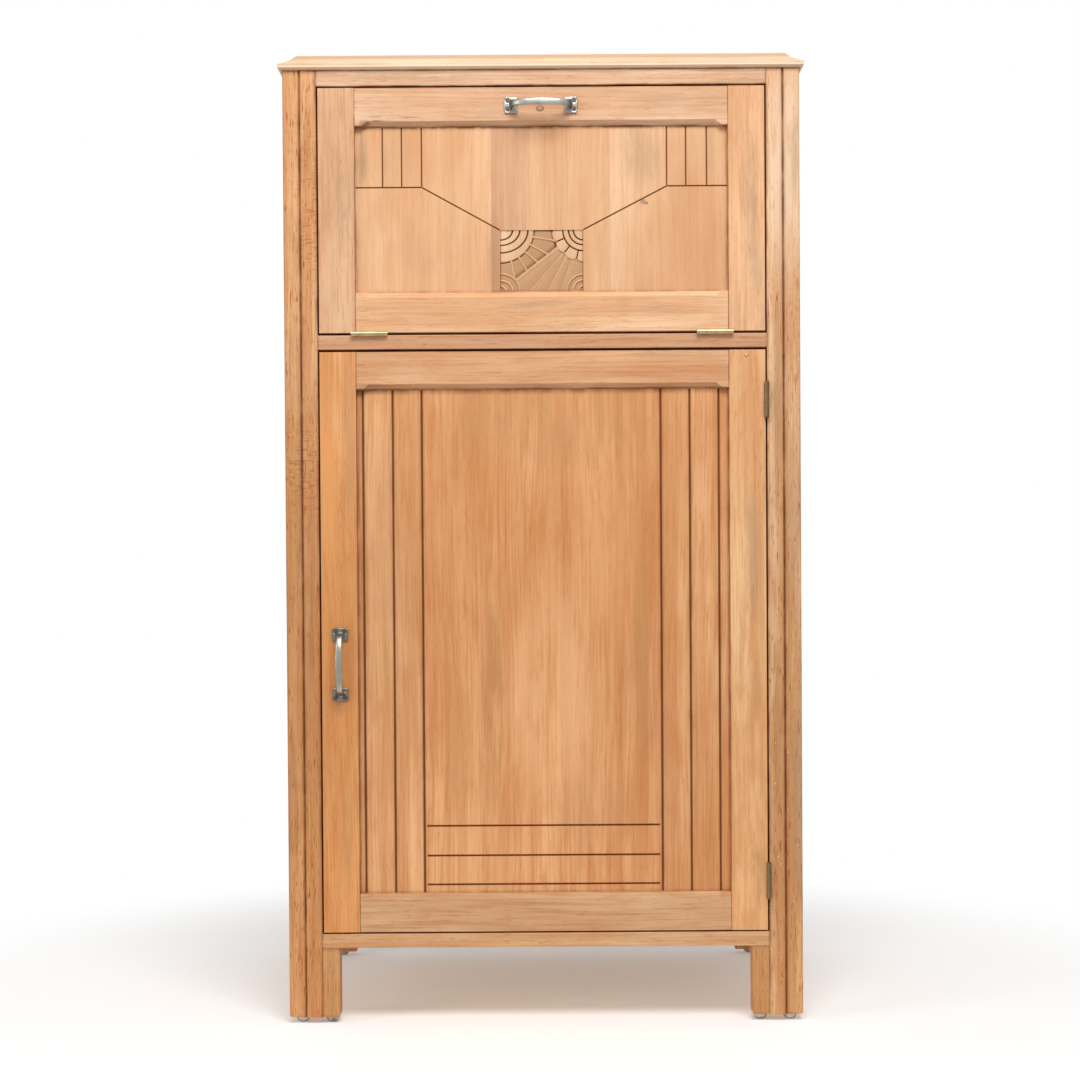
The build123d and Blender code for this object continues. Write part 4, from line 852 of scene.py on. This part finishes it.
def bow_rings(steps=44, corners=20):
    """Sections of the bar. Millimetres: along the pull, across it, out from the door."""
    path = []
    for step in range(steps + 1):
        run, rise = squared(pi * step / steps, bow_power)
        path.append((run * bow_foot, rise * bow_crest))
    rings = []
    for step, (run, rise) in enumerate(path):
        before, after = path[max(step - 1, 0)], path[min(step + 1, steps)]
        heading = Vector((after[0] - before[0], after[1] - before[1])).normalized()
        flare = max(0.0, 1 - rise / neck_height)
        swell = 1 - abs(run) / bow_foot
        width = bar_width + bar_swell * swell + neck_flare * flare**1.3
        thickness = bar_thickness - neck_thinning * flare
        ring = []
        for corner in range(corners):
            across, out = squared(2 * pi * corner / corners, bar_power)
            shift = out * thickness / 2
            ring.append((run - heading.y * shift, across * width / 2, rise + heading.x * shift))
        rings.append(ring)
    return rings


def plate_rings(end):
    """Layers of an end plate: flat sides, then a bevel. Its outer end is a shallow curve."""
    outline = []
    for step in range(13):
        across = plate_half_width * (1 - step / 6)
        outline.append((pull_half - 1.9 * (across / plate_half_width) ** 2, across))
    inner = pull_half - plate_length
    outline += [(inner + 0.5, -plate_half_width + 0.6), (inner, -plate_half_width + 1.6)]
    outline += [(inner, plate_half_width - 1.6), (inner + 0.5, plate_half_width - 0.6)]
    middle = pull_half - plate_length / 2
    rings = []
    for out, inset in ((0.0, 0.0), (1.5, 0.0), (2.2, 0.7), (2.4, 1.7)):
        ring = []
        for run, across in outline:
            run = middle + (run - middle) * (1 - inset / (plate_length / 2))
            across = across * (1 - inset / plate_half_width)
            ring.append((end * run, across, out))
        rings.append(ring)
    return rings


# %% [markdown]
# The remesh reads the overlapping bodies as one solid at half a millimetre, fine enough
# for a bevel. Smoothing then melts the joints, and the seats of the screws are pressed
# into the plates. Grime is dark in the necks and at the foot of the plates, and thin on
# the bar, where fingers polish it.


# %% Casting a pull
def cast_pull(name, centre, run_axis, across_axis, tone, plate_tarnish_and_shade, seed):
    """A cast pull on the face of a door, its bar along run_axis."""
    mesh = bmesh.new()
    loft(mesh, bow_rings())
    for end in (-1, 1):
        loft(mesh, plate_rings(end))
    out_axis = Vector((0, -1, 0))
    for vertex in mesh.verts:
        run, across, out = vertex.co
        vertex.co = (run * run_axis + across * across_axis + out * out_axis) * mm
    bmesh.ops.recalc_face_normals(mesh, faces=mesh.faces)
    pattern = bpy.data.meshes.new(name)
    mesh.to_mesh(pattern)
    mesh.free()
    pull = bpy.data.objects.new(name, pattern)
    bpy.context.scene.collection.objects.link(pull)
    skin = pull.modifiers.new("one_skin", "REMESH")
    skin.mode = "VOXEL"
    skin.voxel_size = 0.5 * mm
    skin.use_smooth_shade = True
    polish = pull.modifiers.new("polish", "SMOOTH")
    polish.iterations = 4
    polish.factor = 0.5
    graph = bpy.context.evaluated_depsgraph_get()
    pull.data = bpy.data.meshes.new_from_object(pull.evaluated_get(graph))
    pull.modifiers.clear()
    for vertex in pull.data.vertices:
        place = vertex.co / mm
        run, across, out = place.dot(run_axis), place.dot(across_axis), place.dot(out_axis)
        from_screw = hypot(abs(run) - screw_along, abs(across) - screw_across)
        if 1.2 < out < 5 and from_screw < seat_radius:
            vertex.co -= out_axis * max(0.0, out - seat_floor) * mm
        if out < 0:
            vertex.co += out_axis * -out * mm
    pull.location = centre
    bpy.context.view_layer.update()
    pull.data.transform(pull.matrix_world)
    pull.location = (0, 0, 0)
    look, colour, gloss = metal(
        name + "_nickel", tone, tuple(0.42 * part for part in tone), seed, 0.5, 0.38
    )
    place, (_, y, _) = look.where()
    stands = (y - case_front) * (-1 / mm)  # how far out of the door's face, in millimetres
    neck = stands.ramp(17, 10) * stands.ramp(2.2, 3.6)
    foot = stands.ramp(1.6, 0.4)
    # Darker plates: tarnish, and on the lower pull painted shade as well.
    plates = stands.ramp(2.9, 2.1) * plate_tarnish_and_shade
    crevice = look.noise(place, (420, 420, 420), 3.0, 0.6)
    colour = look.mix(neck * crevice.ramp(0.3, 0.7, 0.75, 0.95), colour, (0.10, 0.10, 0.095))
    colour = look.mix(plates * crevice.ramp(0.3, 0.6, 0.6, 1.0), colour, (0.16, 0.15, 0.12))
    colour = look.mix(foot * crevice.ramp(0.3, 0.7, 0.5, 0.95), colour, (0.10, 0.075, 0.05))
    pull.data.materials.append(look.shade(Base_Color=colour, Roughness=gloss + neck * 0.25))
    print(name, "faces:", len(pull.data.polygons))
    return pull


ACROSS, UP = Vector((1, 0, 0)), Vector((0, 0, 1))
# The lower pull takes a darker tone and darker plates than the upper one: painted shade, the same
# nickel in dimmer light.
for body, run_axis, across_axis, tone, plate_tarnish_and_shade, seed in (
    ("drop_front", ACROSS, UP, (0.68, 0.67, 0.62), 0.15, 3),
    ("lower_door", UP, ACROSS, (0.60, 0.57, 0.50), 0.75, 4),
):
    low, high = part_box(body + "_pull")
    centre = Vector(((low.x + high.x) / 2, case_front, (low.z + high.z) / 2))
    pull = cast_pull(body + "_cast_pull", centre, run_axis, across_axis, tone, plate_tarnish_and_shade, seed)
    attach(pull, body)
    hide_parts(body + "_pull")

# %% [markdown]
# ## The carved tile
# The tile is a shallow relief of a palm's width: a ringed rosette in each top corner, the
# right one with petals round it, two smaller rosettes below, and rays that run from the
# petals down to the left, over cells with raised walls. Such a relief is a height over a
# plane, so one function gives how high the wood stands at each place, and a fine grid
# takes its shape from it.

# %% Sizes of the carving, in millimetres from the tile's top left corner
TILE_WIDE, TILE_HIGH = 101.5, 72.5
CARVED = 3.2  # from the face of the panel to the floor of the carving
cell_walls = (
    ((40.5, 8.2), (63.0, 12.0)),
    ((35.2, 16.5), (58.5, 29.2)),
    ((30.0, 25.5), (45.7, 39.0)),
    ((23.2, 33.0), (32.2, 48.7)),
    ((13.5, 36.7), (15.7, 49.5)),
)
rays = (
    ((67.5, 23.2), (21.7, 57.7)),
    ((74.0, 30.0), (37.5, 70.5)),
    ((79.0, 33.0), (58.0, 72.0)),
    ((86.0, 38.0), (73.0, 72.0)),
)
petal_edges = (23.0, 49.5, 77.0)
petal_middles = (9.75, 36.25, 63.25, 90.25)
print("the carving is", TILE_WIDE, "by", TILE_HIGH, "mm, and", CARVED, "mm deep")

# %% [markdown]
# Every cut is a cosine dip, because a gouge leaves no sharp floor and a fine grid can
# follow it. A rosette gives a height inside its own outline and nothing outside, so the
# four are tried in turn and the cells and rays fill what is left.

# %% The height of the carving
def beyond(line, u, v):
    """How far a place lies below and right of a line, in millimetres."""
    (u0, v0), (u1, v1) = line
    return ((u - u0) * (v1 - v0) - (v - v0) * (u1 - u0)) / hypot(u1 - u0, v1 - v0)


def dip(distance, half_width, deep):
    """A round-edged cut: its depth at a distance from its middle."""
    return deep * 0.5 * (1 + cos(pi * min(1.0, abs(distance) / half_width)))


def ring_gap(u, v, wide, high):
    """How far a place is outside an oval round the corner, in millimetres."""
    return (hypot(u / wide, v / high) - 1) * (wide + high) / 2


def left_rosette(u, v):
    outside = ring_gap(u, v, 41.0, 38.5)
    if outside > 0:
        return None
    height = 3.0 - 0.5 * max(0.0, 1 + outside / 1.2)
    for wide, high in ((15, 11.5), (24, 18), (34, 27)):
        height -= dip(ring_gap(u, v, wide, high), 1.25, 2.9)
    return height


def right_rosette(u, v):
    from_right = TILE_WIDE - u
    radius = hypot(from_right, v)
    turn = degrees(atan2(v, from_right))
    petal = min(petal_middles, key=lambda middle: abs(turn - middle))
    lean = (turn - petal) / 13.4
    tip = 33.5 + 4.6 * max(0.0, 1 - lean * lean) ** 0.5
    if radius > tip:
        return None
    height = 3.0 - 0.5 * max(0.0, 1 - (tip - radius) / 1.5)
    for ring in (11.8, 17.6, 24.7):
        height -= dip(radius - ring, 1.25, 2.9)
    if radius > 24.7:
        height -= 0.35 * lean * lean
        for edge in petal_edges:
            height -= dip(radius * radians(turn - edge), 1.0, 2.7)
    return height


def lower_rosette(u, v, ovals):
    """A corner rosette with raised rings, or None outside it."""
    gaps = [ring_gap(u, v, wide, high) for wide, high in ovals]
    if gaps[0] > 0:
        return None
    return 1.75 + sum(dip(gap + 1.0, 1.7, 1.3) - dip(gap + 3.2, 1.2, 0.35) for gap in gaps)


def cells_and_rays(u, v):
    past = [beyond(ray, u, v) for ray in rays]
    moat = dip(max(0.0, ring_gap(u, v, 41.0, 38.5)), 3.2, 1.1)
    moat += dip(max(0.0, hypot(TILE_WIDE - u, v) - 37.5), 3.5, 1.0)
    if past[0] < 0:
        floor = 1.6 + 0.3 * min(1.0, -past[0] / 22) - dip(past[0] + 1.5, 6.0, 0.75)
        wall = max(3.0 - 1.2 * max(0.0, abs(beyond(line, u, v)) - 0.3) for line in cell_walls)
        return max(floor - moat, wall, 3.1 + 1.8 * (past[0] + 0.7))
    for first, second in zip(past, past[1:]):
        if second < 0:
            share = first / (first - second)
            fall = min(1.0, max(0.0, first - 0.9) / 2.0)
            return 3.1 - 1.35 * fall * (0.55 + 0.45 * share) - 0.35 * moat
    return 2.9 - min(past[-1], 2.0) * 0.35 - 0.03 * min(past[-1], 14) - 0.35 * moat


def carving(u, v):
    """How high the wood stands over the floor of the carving."""
    below = TILE_HIGH - v
    for height in (
        left_rosette(u, v),
        right_rosette(u, v),
        lower_rosette(u, below, ((24.5, 21.5), (16, 13), (7.5, 6.5))),
        lower_rosette(TILE_WIDE - u, below, ((20.5, 20.5), (13.5, 13.5), (6.5, 6.5))),
    ):
        if height is not None:
            return height
    return cells_and_rays(u, v)


# %% [markdown]
# The grid has a place for about each third of a millimetre. Its rim is carried back to
# the tile's flat rear face, so that the carving is the front of a closed block.


# %% The tile's mesh
def relief_tile(name, low, high, columns=280, rows=200):
    """A block whose front is the carving. low and high are the corners of its room."""
    mesh = bmesh.new()
    front = []
    for row in range(rows + 1):
        line = []
        for column in range(columns + 1):
            u = TILE_WIDE * column / columns
            v = TILE_HIGH * row / rows
            x = low.x + (high.x - low.x) * column / columns
            z = high.z - (high.z - low.z) * row / rows
            y = low.y + (CARVED - min(CARVED, max(0.0, carving(u, v)))) * mm
            line.append(mesh.verts.new((x, y, z)))
        front.append(line)
    for upper, lower in zip(front, front[1:]):
        for column in range(columns):
            mesh.faces.new((upper[column], lower[column], lower[column + 1], upper[column + 1]))
    rim = front[0] + [line[-1] for line in front[1:]] + front[-1][-2::-1]
    rim += [line[0] for line in front[-2:0:-1]]
    back = [mesh.verts.new((vertex.co.x, high.y, vertex.co.z)) for vertex in rim]
    for turn in range(len(rim)):
        after = (turn + 1) % len(rim)
        mesh.faces.new((rim[turn], rim[after], back[after], back[turn]))
    mesh.faces.new(back)
    bmesh.ops.recalc_face_normals(mesh, faces=mesh.faces)
    shape = bpy.data.meshes.new(name)
    mesh.to_mesh(shape)
    mesh.free()
    tile = bpy.data.objects.new(name, shape)
    bpy.context.scene.collection.objects.link(tile)
    return tile


tile_low, tile_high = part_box("carved_tile")
tile = relief_tile("relief_tile", tile_low, tile_high)
tile_wood = Board("relief_wood", "Z", (0.86, 0.57, 0.345), 66).growth(0.2, 0.2, 0.1).smudges(0.15)
# Painted shade: the deeper the carving, the darker, in place of the shadow in its hollows.
tile_depth_shade = tile_wood.xyz[1] - tile_low.y
tile_wood.lay(tile_depth_shade.ramp(0.3 * mm, 1.6 * mm) * 0.88, (0.51, 0.275, 0.135))
tile_wood.lay(tile_depth_shade.ramp(1.5 * mm, 2.9 * mm) * 0.92, (0.115, 0.048, 0.018))
# Painted shadow along the tile's edges, where it sits in the panel.
tile_wood.edge_dirt_and_shade(
    (
        ("X", tile_low.x, 1.6 * mm, 0.9),
        ("X", tile_high.x, 1.6 * mm, 0.9),
        ("Z", tile_low.z, 1.6 * mm, 0.7),
        ("Z", tile_high.z, 2.6 * mm, 0.95),
    )
)
tile.data.materials.append(tile_wood.finished())
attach(tile, "drop_front")
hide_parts("carved_tile")
print("tile faces:", len(tile.data.polygons))

# %% [markdown]
# ## The plain floor
# A floor only has to catch the shadow of the legs. It thins out a little way from the
# cabinet, so that the pale room has no horizon.

# %% Floor
floor_mesh = bpy.data.meshes.new("floor")
floor_half = 4
corner_signs = ((-1, -1), (1, -1), (1, 1), (-1, 1))
floor_corners = [(x * floor_half, y * floor_half, 0) for x, y in corner_signs]
floor_mesh.from_pydata(floor_corners, [], [(0, 1, 2, 3)])
floor = bpy.data.objects.new("floor", floor_mesh)
bpy.context.scene.collection.objects.link(floor)
floor_paint = Finish("floor_paint")
floor_place, (floor_x, floor_y, _) = floor_paint.where()
reach = floor_x * floor_x + floor_y * floor_y
shade = floor_paint.noise(floor_place, (0.6, 0.6, 0.6), 1.0) * 0.02 + 0.90
white = floor_paint.node("ShaderNodeCombineXYZ", inputs={axis: shade for axis in range(3)})
floor_paint.shade(Base_Color=white, Roughness=0.85, Specular_IOR_Level=0.2)
floor_paint.shade(Emission_Color=(1.0, 0.99, 0.975), Emission_Strength=0.20)
floor_mesh.materials.append(floor_paint.shade(Alpha=reach.ramp(1.0, 0.08)))
print("floor:", floor.dimensions.x, "m wide")
